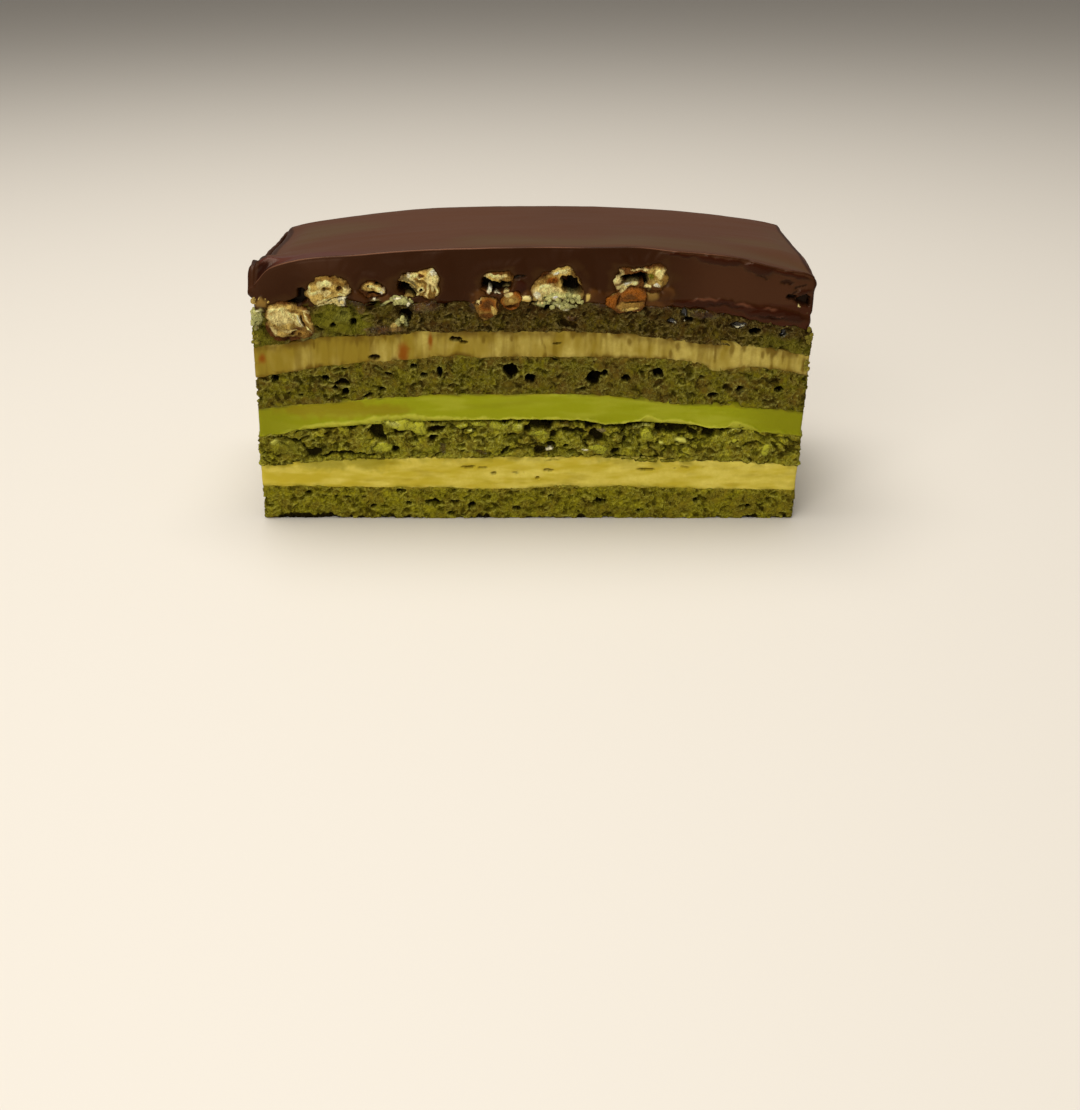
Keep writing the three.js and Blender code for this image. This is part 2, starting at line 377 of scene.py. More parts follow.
def edge_rounding(wall, radius):
    """How far a face turns inward near its lower and upper edges: a quarter circle of this radius."""
    near = np.clip(1 - np.minimum(wall.rise, wall.drop) / radius, 0, 1)
    return radius * (1 - np.sqrt(1 - near**2))


def spots(wall, places, soft=0.35):
    """Ovals on the front face, each given by its place along the front, its height, and its half
    width and half height: 1 inside, falling to 0 over the last soft share, with a wavering rim."""
    x, z = wall.x, wall.z
    waver = 1 + 0.3 * noise(wall.points, 1.1, 71) + 0.2 * noise(wall.points, 0.5, 72)
    strength = np.zeros(x.shape)
    for along, up, half_width, half_height in places:
        reach = np.hypot((x - along) / half_width, (z - up) / half_height) * waver
        strength = np.maximum(strength, smooth(1 + soft / 2, 1 - soft / 2, reach))
    return strength * wall.front


def crumb_relief(wall, seed, torn, holes=()):
    """How far a cut sponge face stands out, and its shading grids. Places are first bent by clouds, so
    that nothing is round. Thin curly walls stand where one noise crosses its middle, hollows lie where
    it is low, and flattened bubbles are cut where a second noise is high; all are stronger where the
    crumb is torn. holes are the large ones on the front, as spots. rim is a painted highlight on what
    stands out, pit is painted shade, darker the deeper a hole or hollow is, soak is where syrup lies,
    and hue is a slow change of colour."""
    points = wall.points
    bend = joined(*(clouds(points, 1.3, seed + k, 2) for k in (11, 12, 13)))
    moved = points * [1, 1, 1.25] + 0.55 * bend
    tearing = smooth(-0.5, 0.4, clouds(points, 3.2, seed + 7, 2) + torn - 0.5)
    froth = clouds(moved, 1.15, seed + 20, 2)
    fine_froth = clouds(moved + 7, 0.62, seed + 30, 2)
    curls = smooth(0.22, 0.0, np.abs(froth)) + 0.6 * smooth(0.2, 0.0, np.abs(fine_froth))
    hollows = smooth(0.05, 0.6, -froth) + 0.5 * smooth(0.1, 0.6, -fine_froth)
    strength = 0.3 + 0.7 * tearing
    burst = clouds(moved * [0.8, 0.8, 1.2], 1.5, seed + 40, 2) + 0.16 * (tearing - 0.5)
    wide_burst = clouds(moved * [0.7, 0.7, 1.3], 2.6, seed + 60, 2) + 0.1 * (tearing - 0.5)
    medium = 0.6 * smooth(0.36, 0.66, burst)
    coarse = smooth(0.58, 0.78, wide_burst)
    depth = np.maximum.reduce([medium, coarse, 2.4 * spots(wall, holes)])
    waves = 0.2 * clouds(points, 9, seed + 5, 2)
    relief = waves + strength * (0.16 * curls - 0.34 * hollows) - depth - edge_rounding(wall, 0.08)
    shallow = np.maximum(relief - waves, -0.5)
    even = softened(softened(softened(softened(shallow))))
    stand = shallow - even
    # Painted highlight where the crumb stands out.
    rim = smooth(0.03, 0.2, stand) * smooth(-0.6, 0.3, noise(points, 1.4, seed + 9) + 0.25)
    # Painted shade in holes and hollows, darker the deeper they are.
    pit = np.maximum(smooth(0.3, 0.85, depth), 0.8 * strength * smooth(0.55, 1.2, hollows))
    soak = smooth(-0.1, 0.5, clouds(points * [1, 1, 1.6], 5, seed + 10))
    hue = smooth(-0.5, 0.5, clouds(points, 1.7, seed + 14, 2))
    return relief, {"rim": rim, "pit": pit, "soak": soak, "hue": hue}


def smeared(wall, seed, below, above):
    """Where a sheet is smeared by its neighbours: 1 at its lower and upper edges, fading over below and
    above millimetres, broken up by clouds."""
    patches = clouds(wall.points, 1.6, seed, 3) + 0.6 * clouds(wall.points, 6.0, seed + 9, 2)
    low = smooth(1.0, 0.0, wall.rise / below) if below else 0
    high = smooth(1.0, 0.0, wall.drop / above) if above else 0
    return np.maximum(low, high) * smooth(-0.35, 0.5, patches)


def tint(red, green, blue):
    """A colour given as three display values from 0 to 255, turned into linear light."""
    share = np.array([red, green, blue]) / 255
    return np.where(share < 0.04045, share / 12.92, ((share + 0.055) / 1.055) ** 2.4)


def paint(red, green, blue):
    """The same colour as a shader's socket takes it."""
    return (*tint(red, green, blue).tolist(), 1.0)


def add_node(tree, kind, inputs, **settings):
    """Adds a shader node: settings are its own properties, and each input is given a value or a
    link."""
    node = tree.nodes.new("ShaderNode" + kind)
    for key, value in settings.items():
        setattr(node, key, value)
    for key, value in inputs.items():
        if isinstance(value, bpy.types.NodeSocket):
            tree.links.new(value, node.inputs[key])
        else:
            node.inputs[key].default_value = value
    return node


def attribute(tree, key, output="Fac"):
    """The socket that reads a point attribute of the mesh."""
    return add_node(tree, "Attribute", {}, attribute_name=key).outputs[output]


def sum_of(tree, operation, *values, **settings):
    """The socket of a sum worked out from these values."""
    return add_node(tree, "Math", dict(enumerate(values)), operation=operation, **settings).outputs[0]


def mixed(tree, factor, first, second, blend="MIX"):
    """The socket of two colours mixed by a factor."""
    inputs = {0: factor, 6: first, 7: second}
    return add_node(tree, "Mix", inputs, data_type="RGBA", blend_type=blend).outputs[2]


def scaled(tree, value, low, high):
    """The socket of a value from 0 to 1 spread from low to high."""
    inputs = {"Value": value, "To Min": low, "To Max": high}
    return add_node(tree, "MapRange", inputs).outputs["Result"]


def faded(tree, value, full, gone):
    """The socket of 1 where a value is at full, fading softly to 0 where it is at gone."""
    inputs = {"Value": value, "From Min": full, "From Max": gone, "To Min": 1.0, "To Max": 0.0}
    return add_node(tree, "MapRange", inputs, interpolation_type="SMOOTHSTEP").outputs["Result"]


def new_group(name, taken_in, given_out):
    """An empty node group with these float inputs and outputs, and its two end nodes."""
    group = bpy.data.node_groups.new(name, "ShaderNodeTree")
    for keys, side in ((taken_in, "INPUT"), (given_out, "OUTPUT")):
        for key in keys:
            group.interface.new_socket(key, in_out=side, socket_type="NodeSocketFloat")
    return group, group.nodes.new("NodeGroupInput"), group.nodes.new("NodeGroupOutput")


def make_grain_group():
    """Grain of soft food. Height is a speckle of noise for a bump, and Shade is the same speckle, from
    0 to 1, sharpened by Contrast. Scale is the number of grains to a metre."""
    group, given, taken = new_group("food grain", ("Scale", "Contrast"), ("Shade", "Height"))
    place = add_node(group, "TexCoord", {}).outputs["Object"]
    look = {"Vector": place, "Scale": given.outputs["Scale"], "Detail": 3.0, "Roughness": 0.65}
    speckle = add_node(group, "TexNoise", look).outputs["Fac"]
    centred = sum_of(group, "SUBTRACT", speckle, 0.5)
    contrast = given.outputs["Contrast"]
    sharper = sum_of(group, "MULTIPLY_ADD", centred, contrast, 0.5, use_clamp=True)
    group.links.new(sharper, taken.inputs["Shade"])
    group.links.new(speckle, taken.inputs["Height"])
    return group


grain_group = make_grain_group()


def make_crumb_group():
    """Torn crumb too fine for a mesh: a noise whose places are bent by another. Crest is 1 on the thin
    walls where the noise crosses its middle, Gap is 1 in the hollows where it is low, and Height is
    both for a bump; the materials paint highlights by Crest and shade by Gap. Scale is the number of
    hollows to a metre."""
    group, given, taken = new_group("torn crumb", ("Scale",), ("Crest", "Gap", "Height"))
    place = add_node(group, "TexCoord", {}).outputs["Object"]
    sway = add_node(group, "TexNoise", {"Vector": place, "Scale": 900.0, "Detail": 1.0})
    half = (0.5, 0.5, 0.5)
    aside = add_node(
        group, "VectorMath", {0: sway.outputs["Color"], 1: half}, operation="SUBTRACT"
    )
    bend = {0: aside.outputs["Vector"], 1: (1.6 * MM,) * 3, 2: place}
    moved = add_node(group, "VectorMath", bend, operation="MULTIPLY_ADD").outputs["Vector"]
    look = {"Vector": moved, "Scale": given.outputs["Scale"], "Detail": 2.0, "Roughness": 0.6}
    froth = add_node(group, "TexNoise", look).outputs["Fac"]
    away = sum_of(group, "ABSOLUTE", sum_of(group, "SUBTRACT", froth, 0.5))
    crest = faded(group, away, 0.0, 0.07)
    gap = faded(group, froth, 0.3, 0.46)
    group.links.new(crest, taken.inputs["Crest"])
    group.links.new(gap, taken.inputs["Gap"])
    group.links.new(sum_of(group, "SUBTRACT", crest, gap), taken.inputs["Height"])
    return group


crumb_group = make_crumb_group()


def new_material(name):
    """An empty node material, its nodes, and the inputs of its Principled shader."""
    material = bpy.data.materials.new(name)
    material.use_nodes = True
    return material, material.node_tree, material.node_tree.nodes["Principled BSDF"].inputs


def grain(tree, per_metre, contrast):
    """The two sockets of the food grain group placed in a material."""
    inputs = {"Scale": per_metre, "Contrast": contrast}
    return add_node(tree, "Group", inputs, node_tree=grain_group).outputs


def torn_crumb(tree, per_metre):
    """The three sockets of the torn crumb group placed in a material."""
    return add_node(tree, "Group", {"Scale": per_metre}, node_tree=crumb_group).outputs


def coated(tree, colour, coats):
    """The socket of a colour under coats laid on in turn. A coat is given by its mask, which is a socket
    or a point attribute's name, by how much of it shows where the mask is 0 and 1, and its colour."""
    for mask, low, high, shade in coats:
        mask = attribute(tree, mask) if isinstance(mask, str) else mask
        shown = mask if (low, high) == (0, 1) else scaled(tree, mask, low, high)
        colour = mixed(tree, shown, colour, paint(*shade))
    return colour


def bump(tree, height_socket, distance, strength, under=None):
    """The socket of a normal roughened by a height, with the relief's size in millimetres, over the
    normal of another bump if one is given."""
    inputs = {"Height": height_socket, "Distance": distance * MM, "Strength": strength}
    if under is not None:
        inputs["Normal"] = under
    return add_node(tree, "Bump", inputs).outputs["Normal"]


def dress(tree, shader, colour, rough, normal, level, warmth):
    """Links a shader's colour, roughness and normal, and sets how strongly it mirrors and its tint."""
    for key, socket in (("Base Color", colour), ("Roughness", rough), ("Normal", normal)):
        tree.links.new(socket, shader[key])
    shader["Specular IOR Level"].default_value = level
    shader["Specular Tint"].default_value = (*warmth, 1.0)


def sponge_material(name, crumb, dark, warm, soaked, rim, pit, smear, patched=False):
    """Soaked sponge: speckled crumb, warmer in places, browner where the syrup lies and smeared with
    the cream next to it. A painted highlight lies on the thin walls of the torn crumb and the rims of
    holes, and painted shade makes its hollows nearly black. A patched sponge takes the colour and
    gloss of what lies on it."""
    material, tree, shader = new_material(name)
    speckle = grain(tree, per_metre=1700, contrast=2.8)
    mottle = grain(tree, per_metre=620, contrast=3.0)
    torn = torn_crumb(tree, per_metre=720)
    gap = torn["Gap"]
    colour = mixed(tree, speckle["Shade"], paint(*dark), paint(*crumb))
    coats = [
        (mottle["Shade"], 0.5, 0, dark),
        ("hue", -0.3, 0.6, warm),
        ("soak", 0, 0.55, soaked),
        ("smear", 0, 0.7, smear),
        # Painted highlights on the crests of the torn crumb and on the rims.
        (torn["Crest"], 0, 0.25, rim),
        ("rim", 0, 0.75, rim),
        # Painted shade in the gaps of the torn crumb.
        (gap, 0, 0.75, pit),
    ]
    colour = coated(tree, colour, coats)
    rough = scaled(tree, speckle["Shade"], 0.55, 0.85)
    if patched:
        patch_colour = attribute(tree, "patch_colour", "Color")
        # Painted shade in the gaps of the torn crumb over a patch too.
        patch_colour = mixed(tree, scaled(tree, gap, 0, 0.35), patch_colour, paint(*pit))
        colour = mixed(tree, attribute(tree, "patch"), colour, patch_colour)
        rough = scaled(tree, attribute(tree, "gloss"), 0.6, 0.14)
        tree.links.new(attribute(tree, "gloss"), shader["Coat Weight"])
        shader["Coat Roughness"].default_value = 0.12
    # Painted shade in pits, hollows, tears, cracks and crevices.
    colour = mixed(tree, attribute(tree, "pit"), colour, paint(*pit))
    rough_skin = bump(tree, speckle["Height"], distance=0.2, strength=0.7)
    normal = bump(tree, torn["Height"], distance=0.3, strength=0.8, under=rough_skin)
    dress(tree, shader, colour, rough, normal, level=0.05, warmth=(1.0, 0.85, 0.5))
    return material


# The large holes of the front cut, as spots: place along, height, half width, half height.
BASE_HOLES = [
    (-17.5, 3.2, 1.3, 0.5),
    (-10.4, 2.6, 0.6, 0.5),
    (-14.3, 1.0, 0.7, 0.4),
    (13.2, 3.4, 1.0, 0.5),
    (-23.4, 5.5, 0.8, 0.35),
    (-40.5, 5.0, 0.5, 0.3),
    (-35.2, 4.4, 0.35, 0.3),
    (-28.6, 2.4, 0.4, 0.3),
    (-22.0, 3.1, 0.45, 0.3),
    (-2.2, 2.0, 0.7, 0.4),
    (4.1, 4.4, 0.4, 0.3),
    (20.5, 1.6, 0.6, 0.35),
    (30.6, 3.6, 0.45, 0.5),
    (40.2, 2.4, 0.45, 0.35),
]
base_wall = Wall(BASE, CRUMB_STEP, rows=38)
base_relief, base_grids = crumb_relief(base_wall, seed=100, torn=0.7, holes=BASE_HOLES)
base_grids["smear"] = smeared(base_wall, seed=150, below=0, above=1.1)
# Painted shadow in the lowest rows where the base's edge is lifted off the table.
lifted_shadow = smooth(0.12, 0.3, base_wall.low) * smooth(0.3, 0.05, base_wall.rise)
base_grids["pit"] = np.maximum(base_grids["pit"], lifted_shadow)
base_material = sponge_material(
    "base sponge",
    crumb=(165, 157, 33),
    dark=(98, 90, 8),
    warm=(112, 94, 26),
    soaked=(104, 88, 22),
    rim=(174, 168, 66),
    pit=(34, 27, 2),
    smear=(150, 134, 40),
)
sheet(base_wall, base_relief, base_grids, base_material)

# ----------------------------------------
# Lower coffee buttercream. Soft butter, sugar and coffee beaten smooth and spread with a palette knife.
# The cake knife smears it sideways, so its face has long low ripples and small level tears.
# ----------------------------------------


def cream_relief(wall, seed, along, up):
    """How far a cut cream face stands out: slow waves, and ripples of noise stretched by along and up."""
    slow = 0.16 * clouds(wall.points, 8, seed, 2)
    ripples = 0.09 * clouds(wall.points / [along, along, up], 1.0, seed + 3)
    fine = 0.03 * clouds(wall.points, 0.7, seed + 6, 2)
    return slow + ripples + fine - edge_rounding(wall, 0.05)


def tears(wall, seed, size, share):
    """Small level tears all round: bubbles stretched four times wider than tall."""
    run = 0.35 * wall.run + 0.4 * noise(wall.points, 1.2, seed + 1)
    up = 1.9 * wall.z + 0.5 * noise(wall.points, 1.2, seed + 2)
    return np.minimum(bubbles(run, up, size, share, 0.1, 0.3, seed + 9, 0.35 * wall.trip), 0.7)


def cream_material(name, body, light, dark, stain, smear, rough, speckles=0.5):
    """Cream that a little light sinks into: its body is lighter and darker by the tone and streak of
    its mesh, stained by syrup, smeared with crumb from its neighbours, and painted dark with shade
    down in its tears."""
    material, tree, shader = new_material(name)
    speckle = grain(tree, per_metre=1400, contrast=1.8)
    coats = [
        (speckle["Shade"], speckles, 0, body),
        ("streak", 0, 1, dark),
        ("stain", 0, 1, stain),
        ("smear", 0, 0.8, smear),
        # Painted shade in the tears.
        ("cut", 0, 1, (40, 26, 5)),
    ]
    colour = mixed(tree, attribute(tree, "tone"), paint(*body), paint(*light))
    colour = coated(tree, colour, coats)
    rough = scaled(tree, speckle["Shade"], rough - 0.07, rough + 0.07)
    normal = bump(tree, speckle["Height"], distance=0.08, strength=0.5)
    dress(tree, shader, colour, rough, normal, level=0.12, warmth=(1.0, 0.9, 0.5))
    shader["Subsurface Weight"].default_value = 0.2
    shader["Subsurface Radius"].default_value = (1.0, 0.7, 0.3)
    shader["Subsurface Scale"].default_value = 1.0 * MM
    return material


# Small tears that the knife opened in the front, as spots.
LOWER_CUTS = [
    (-11.0, 10.2, 1.2, 0.2),
    (-8.6, 10.0, 0.8, 0.14),
    (21.0, 9.7, 1.5, 0.2),
    (-6.5, 8.9, 0.5, 0.24),
    (1.5, 8.1, 0.4, 0.2),
    (3.4, 9.6, 0.9, 0.16),
]
lower_wall = Wall(LOWER, CREAM_STEP, rows=28)
lower_nicks = tears(lower_wall, seed=210, size=1.5, share=0.05)
lower_nicks = np.maximum(lower_nicks, 0.8 * spots(lower_wall, LOWER_CUTS, 0.7))
lower_relief = cream_relief(lower_wall, seed=200, along=5.0, up=0.8) - lower_nicks
drawn_out = lower_wall.points / [3, 3, 0.7]
lower_grids = {
    "tone": smooth(-0.6, 0.5, clouds(drawn_out, 1.3, 231) + 0.005 * lower_wall.x),
    "streak": 0.45 * smooth(0.0, 0.8, clouds(drawn_out, 1.3, 241)),
    # Painted shade in the tears.
    "cut": 0.55 * smooth(0.12, 0.5, lower_nicks),
    "stain": 0.7 * spots(lower_wall, [(-29.5, 11.6, 5, 1.6), (-37, 11.0, 4, 1.2)], 1.2),
    "smear": smeared(lower_wall, seed=255, below=0.7, above=1.5),
}
lower_material = cream_material(
    "lower coffee buttercream",
    body=(192, 172, 48),
    light=(222, 206, 98),
    dark=(152, 130, 22),
    stain=(140, 130, 30),
    smear=(140, 128, 34),
    rough=0.45,
)
sheet(lower_wall, lower_relief, lower_grids, lower_material)

# ----------------------------------------
# Second sponge. The same green tea joconde, torn along its top when the chilled cream above it was cut,
# so that a crevice runs under the cream, painted dark with shade, with lumps of cream caught in the
# open crumb.
# ----------------------------------------

second_wall = Wall(SECOND, CRUMB_STEP, rows=46)
second_relief, second_grids = crumb_relief(second_wall, seed=300, torn=0.95)


def crevice(wall, seed):
    """Depth of the crevice under the cream: a notch along the top of the wall whose height wanders
    sharply, open along the middle of each side, closed towards its corners, and bridged here and there."""
    flat = wall.points * [1, 1, 0.35]
    wander = 0.6 * clouds(flat, 3.4, seed, 2) + 0.6 * clouds(flat, 0.95, seed + 2, 2)
    tall = 0.75 - 0.1 * wall.front + (1.1 - 0.2 * wall.front) * wander
    along_side = np.abs(wall.out[..., 1]) > 0.5
    reach = np.where(along_side, np.abs(wall.x + 1) - 37.5, np.abs(wall.y) - 15)
    open_here = smooth(1.5, -2.5, reach + 4 * clouds(wall.points * [1, 1, 0], 11, seed + 5))
    notch = smooth(tall + 0.1, tall - 0.1, wall.drop)
    return 2.4 * notch * open_here


# What shows on the cut faces: its colour, how glossy it is, how softly its rim fades, and how much of the
# face it covers. white is painted highlights and glints, glint is a painted highlight, and dark is
# painted shade in holes and tears.
KINDS = {
    # Painted highlights and glints.
    "white": ((246, 238, 196), 0.1, 0.14, 1),
    "cream": ((238, 221, 146), 0.1, 0.16, 1),
    "tan": ((197, 169, 90), 0.1, 0.22, 1),
    "gold": ((154, 120, 54), 0.3, 0.4, 0.8),
    "toast": ((106, 66, 26), 0.3, 0.4, 0.65),
    "brown": ((68, 36, 10), 0.3, 0.4, 0.7),
    "amber": ((146, 84, 22), 0.5, 0.4, 1),
    "mint": ((198, 198, 126), 0.2, 0.24, 0.85),
    "green": ((124, 124, 32), 0.0, 0.35, 0.4),
    "lump": ((168, 166, 42), 0.2, 0.22, 1),
    "pale": ((198, 196, 88), 0.2, 0.3, 1),
    "crumb": ((150, 140, 52), 0.1, 0.3, 1),
    "grey": ((124, 112, 68), 0.2, 0.22, 1),
    # Painted shade in holes and tears.
    "dark": ((12, 7, 2), 0.0, 0.16, 1),
    "wet": ((18, 14, 4), 1.0, 0.25, 1),
    "slick": ((44, 13, 3), 0.8, 0.3, 1),
    "groove": ((32, 11, 3), 0.6, 0.3, 1),
    # A painted highlight.
    "glint": ((106, 64, 44), 0.8, 0.5, 0.9),
}


def brushed(along, up, strokes, seed):
    """Strokes laid one over another on a cut face. Each is an oval given by its kind, its middle along
    and up, its half length and half height, its turn in degrees, and how far it stands out. Its rim
    wavers by noise, and inside it the face moves to a low dome and takes the kind's colour, with
    painted light above and painted shade below. Gives how far the face stands out, its cover, its
    colour and its gloss."""
    place = joined(along, up, 11.0 * seed)
    along = along + 0.35 * noise(place, 1.3, 73) + 0.18 * noise(place, 0.6, 75)
    up = up + 0.35 * noise(place, 1.3, 74) + 0.18 * noise(place, 0.6, 76)
    stand, cover, gloss = (np.zeros(along.shape) for _ in range(3))
    colour = np.zeros((*along.shape, 3))
    for kind, middle_along, middle_up, half_long, half_high, turn, out in strokes:
        cos, sin = np.cos(np.radians(turn)), np.sin(np.radians(turn))
        x = (along - middle_along) * cos + (up - middle_up) * sin
        z = (up - middle_up) * cos - (along - middle_along) * sin
        reach = np.hypot(x / half_long, z / half_high)
        shade, shine, soft, solid = KINDS[kind]
        within = smooth(1 + soft, 1 - soft, reach)
        dome = 0.2 * min(half_long, half_high, 2) * np.sqrt(np.clip(1 - reach**2, 0, 1)) * (out > -1)
        stand = stand + (out * 0.8 + dome - stand) * within
        cover = cover + (solid - cover) * within
        # Painted light and shade: each stroke is lighter at its top and darker at its bottom.
        light = 1 + 0.25 * np.clip((up - middle_up) / min(half_high, 2), -1, 1)[..., None]
        colour = colour + (tint(*shade) * light - colour) * within[..., None]
        gloss = gloss + (shine - gloss) * within
    return stand, cover, colour, gloss


# What the knife opened in the front of this sheet, tears painted dark with shade, lumps of cream caught
# in them and white painted glints: kind, place along, height, half length, half height, turn and how far
# it stands out.
SECOND_STROKES = [
    ("dark", -44.4, 16.0, 1.5, 0.16, 0, -1.2),
    ("dark", -42.1, 15.3, 1.3, 0.3, -27, -1.4),
    ("dark", -40.5, 14.1, 0.9, 0.28, -50, -1.0),
    ("dark", -41.2, 17.3, 1.3, 0.16, 18, -1.2),
    ("dark", -38.7, 17.8, 1.5, 0.16, 8, -1.2),
    ("dark", -36.0, 17.9, 1.2, 0.54, -5, -1.6),
    ("dark", -33.6, 18.1, 1.3, 0.15, 0, -1.0),
    ("dark", -31.9, 17.8, 1.0, 0.3, 10, -1.3),
    ("dark", -38.9, 13.1, 1.4, 0.77, 10, -1.3),
    ("dark", -36.6, 12.5, 1.5, 0.25, 10, -1.0),
    ("dark", -32.8, 12.8, 3.4, 0.33, -3, -1.3),
    ("dark", -28.7, 12.5, 1.3, 0.22, 0, -1.0),
    ("dark", -27.4, 16.9, 1.2, 1.4, 0, -1.5),
    ("dark", -27.1, 16.2, 1.3, 0.82, -20, -1.7),
    ("dark", -28.5, 17.6, 0.8, 0.22, 40, -1.0),
    ("dark", -25.2, 19.8, 1.3, 0.19, -4, -1.4),
    ("dark", -22.9, 19.9, 1.3, 0.15, 5, -1.3),
    ("dark", -20.8, 20.1, 1.3, 0.19, 3, -1.4),
    ("dark", -19.0, 19.5, 1.3, 0.24, -35, -1.4),
    ("lump", -22.6, 18.3, 3.8, 1, -7, 0.3),
    ("lump", -20.0, 17.7, 1.8, 1.1, -30, 0.3),
    ("pale", -24.6, 18.8, 1.5, 0.38, -12, 0.4),
    ("dark", -16.4, 18.9, 1.8, 0.24, 0, -1.3),
    ("white", -16.3, 19.0, 0.3, 0.16, 0, -0.2),
    ("dark", -12.1, 19.5, 1.4, 0.35, -8, -1.6),
    ("dark", -8.5, 19.1, 2.3, 0.22, -3, -1.5),
    ("dark", -4.8, 19.7, 1.5, 0.27, 3, -1.6),
    ("dark", -1.6, 19.3, 2.0, 0.22, -10, -1.5),
    ("dark", 2.1, 18.5, 1.9, 0.6, -8, -1.8),
    ("dark", -0.5, 17.8, 0.6, 0.65, 0, -1.4),
    ("lump", -12.4, 18.1, 1.1, 0.6, 0, 0.3),
    ("pale", -10.8, 17.2, 0.8, 0.27, 0, 0.3),
    ("dark", -10.2, 17.4, 0.4, 0.27, 0, -0.9),
    ("lump", -9.2, 18.3, 1.4, 0.54, -10, 0.2),
    ("lump", -5.5, 18.4, 1.8, 0.98, 0, 0.3),
    ("lump", -2.4, 17.8, 1.2, 0.92, 0, 0.3),
    ("pale", -1.9, 18.1, 0.5, 0.38, 0, 0.4),
    ("lump", 1.7, 16.9, 1.5, 0.44, 0, 0.2),
    ("dark", -17.6, 15.8, 0.9, 0.66, 10, -1.8),
    ("green", -17.8, 13.6, 1.3, 0.88, 10, 0.1),
    ("lump", -26.5, 14.0, 1.8, 1.1, 15, 0.1),
    ("dark", -24.1, 13.9, 0.8, 0.66, 0, -1.5),
    ("brown", -15.7, 13.6, 0.5, 1.1, 0, -0.7),
    ("brown", -8.8, 13.0, 1.2, 0.39, -10, -0.7),
    ("dark", -4.6, 13.5, 1.0, 0.44, 30, -0.9),
    ("dark", 1.8, 13.5, 1.2, 0.72, 0, -1.2),
    ("dark", 3.5, 14.5, 0.5, 0.61, 0, -1.2),
    ("white", 3.2, 13.5, 0.3, 0.44, 0, 0.1),
    ("pale", -45.8, 15.1, 0.8, 0.44, 0, 0.2),
    ("green", -43.8, 14.0, 2.6, 1.3, -8, 0.1),
    ("dark", 1.4, 18.5, 1.8, 0.76, -6, -1.8),
    ("toast", 2.7, 19.4, 1.3, 0.27, 0, -0.4),
    ("dark", 4.0, 16.5, 0.5, 0.71, 0, -1.1),
    ("dark", 6.9, 17.4, 1.3, 0.54, -12, -1.1),
    ("dark", 9.0, 17.2, 1.2, 0.49, -8, -1.1),
    ("brown", 6.2, 18.7, 0.9, 0.43, 0, -0.6),
    ("dark", 11.9, 16.3, 1.4, 0.98, -35, -1.7),
    ("grey", 12.6, 17.2, 0.9, 0.33, -10, -0.1),
    ("dark", 10.9, 18.0, 1.0, 0.33, 10, -0.9),
    ("dark", 15.2, 18.1, 1.5, 0.16, 6, -1.2),
    ("dark", 20.1, 18.5, 2.4, 0.27, 0, -1.6),
    ("dark", 20.9, 19.6, 1.0, 0.27, 0, -1.6),
    ("pale", 19.6, 18.0, 1.9, 0.15, 0, 0.2),
    ("dark", 23.2, 17.7, 1.1, 0.92, -10, -2.0),
    ("dark", 26.0, 17.6, 2.2, 0.92, 3, -2.0),
    ("dark", 29.0, 16.7, 1.2, 0.55, -30, -1.8),
    ("dark", 31.8, 16.8, 1.3, 0.93, -15, -1.6),
    ("dark", 33.9, 17.4, 1.0, 0.16, 5, -1.2),
    ("dark", 36.2, 17.7, 1.5, 0.27, 8, -1.7),
    ("pale", 36.4, 17.2, 1.4, 0.15, 8, 0.1),
    ("pale", 27.1, 15.4, 1.1, 0.6, -10, 0.3),
    ("pale", 23.6, 15.1, 0.5, 0.38, 0, 0.2),
    ("lump", 1.2, 17.0, 1.8, 0.38, 6, 0.2),
    ("lump", 12.3, 13.7, 1.8, 0.72, -15, 0.1),
    ("lump", 20.7, 16.5, 1.1, 0.98, 0, 0.1),
    ("lump", 36.9, 15.1, 0.6, 0.49, 0, 0.1),
    ("dark", 3.8, 14.6, 0.9, 0.6, -20, -1.3),
    ("white", 3.5, 13.5, 0.6, 0.39, 20, 0.1),
    ("dark", 2.3, 13.4, 0.7, 0.44, 0, -1.1),
    ("dark", 16.9, 15.5, 0.4, 0.77, 0, -1.2),
    ("dark", 15.4, 13.3, 0.8, 0.61, 0, -1.3),
    ("white", 9.8, 13.5, 0.7, 0.19, -8, 0.1),
    ("dark", 6.2, 14.6, 0.5, 0.39, 0, -0.8),
    ("dark", 16.9, 12.2, 2.8, 0.19, -3, -0.9),
    ("dark", 23.3, 11.9, 2.8, 0.19, -3, -0.9),
    ("dark", 20.0, 12.0, 1.3, 0.22, 0, -0.9),
    ("lump", 42.5, 13.5, 0.6, 1.2, 0, 0.1),
]
second_gap = crevice(second_wall, seed=330)
second_stand, second_cover, second_colour, second_gloss = brushed(
    second_wall.x, second_wall.z, SECOND_STROKES, seed=5
)
second_cover = second_cover * second_wall.front
far_caught = smooth(0.42, 0.7, noise(second_wall.points * [0.6, 0.6, 1.2], 1.8, 350))
far_caught = far_caught * (1 - second_wall.front)
clods = clouds(second_wall.points * [0.8, 0.8, 1.3], 2.3, 356, 3)
cracks = smooth(0.13, 0.02, np.abs(clods)) * smooth(-0.3, 0.2, clouds(second_wall.points, 4, 358, 2))
cracks = cracks * (0.5 + 0.5 * second_wall.front)
second_relief = second_relief + 0.25 * smooth(0.1, 0.5, np.abs(clods)) - 0.7 * cracks
second_relief = second_relief + (second_stand - second_relief) * second_cover
second_relief = np.maximum(second_relief, -2.5) + 0.35 * far_caught
second_relief = second_relief - second_gap * (1 - 0.7 * far_caught)
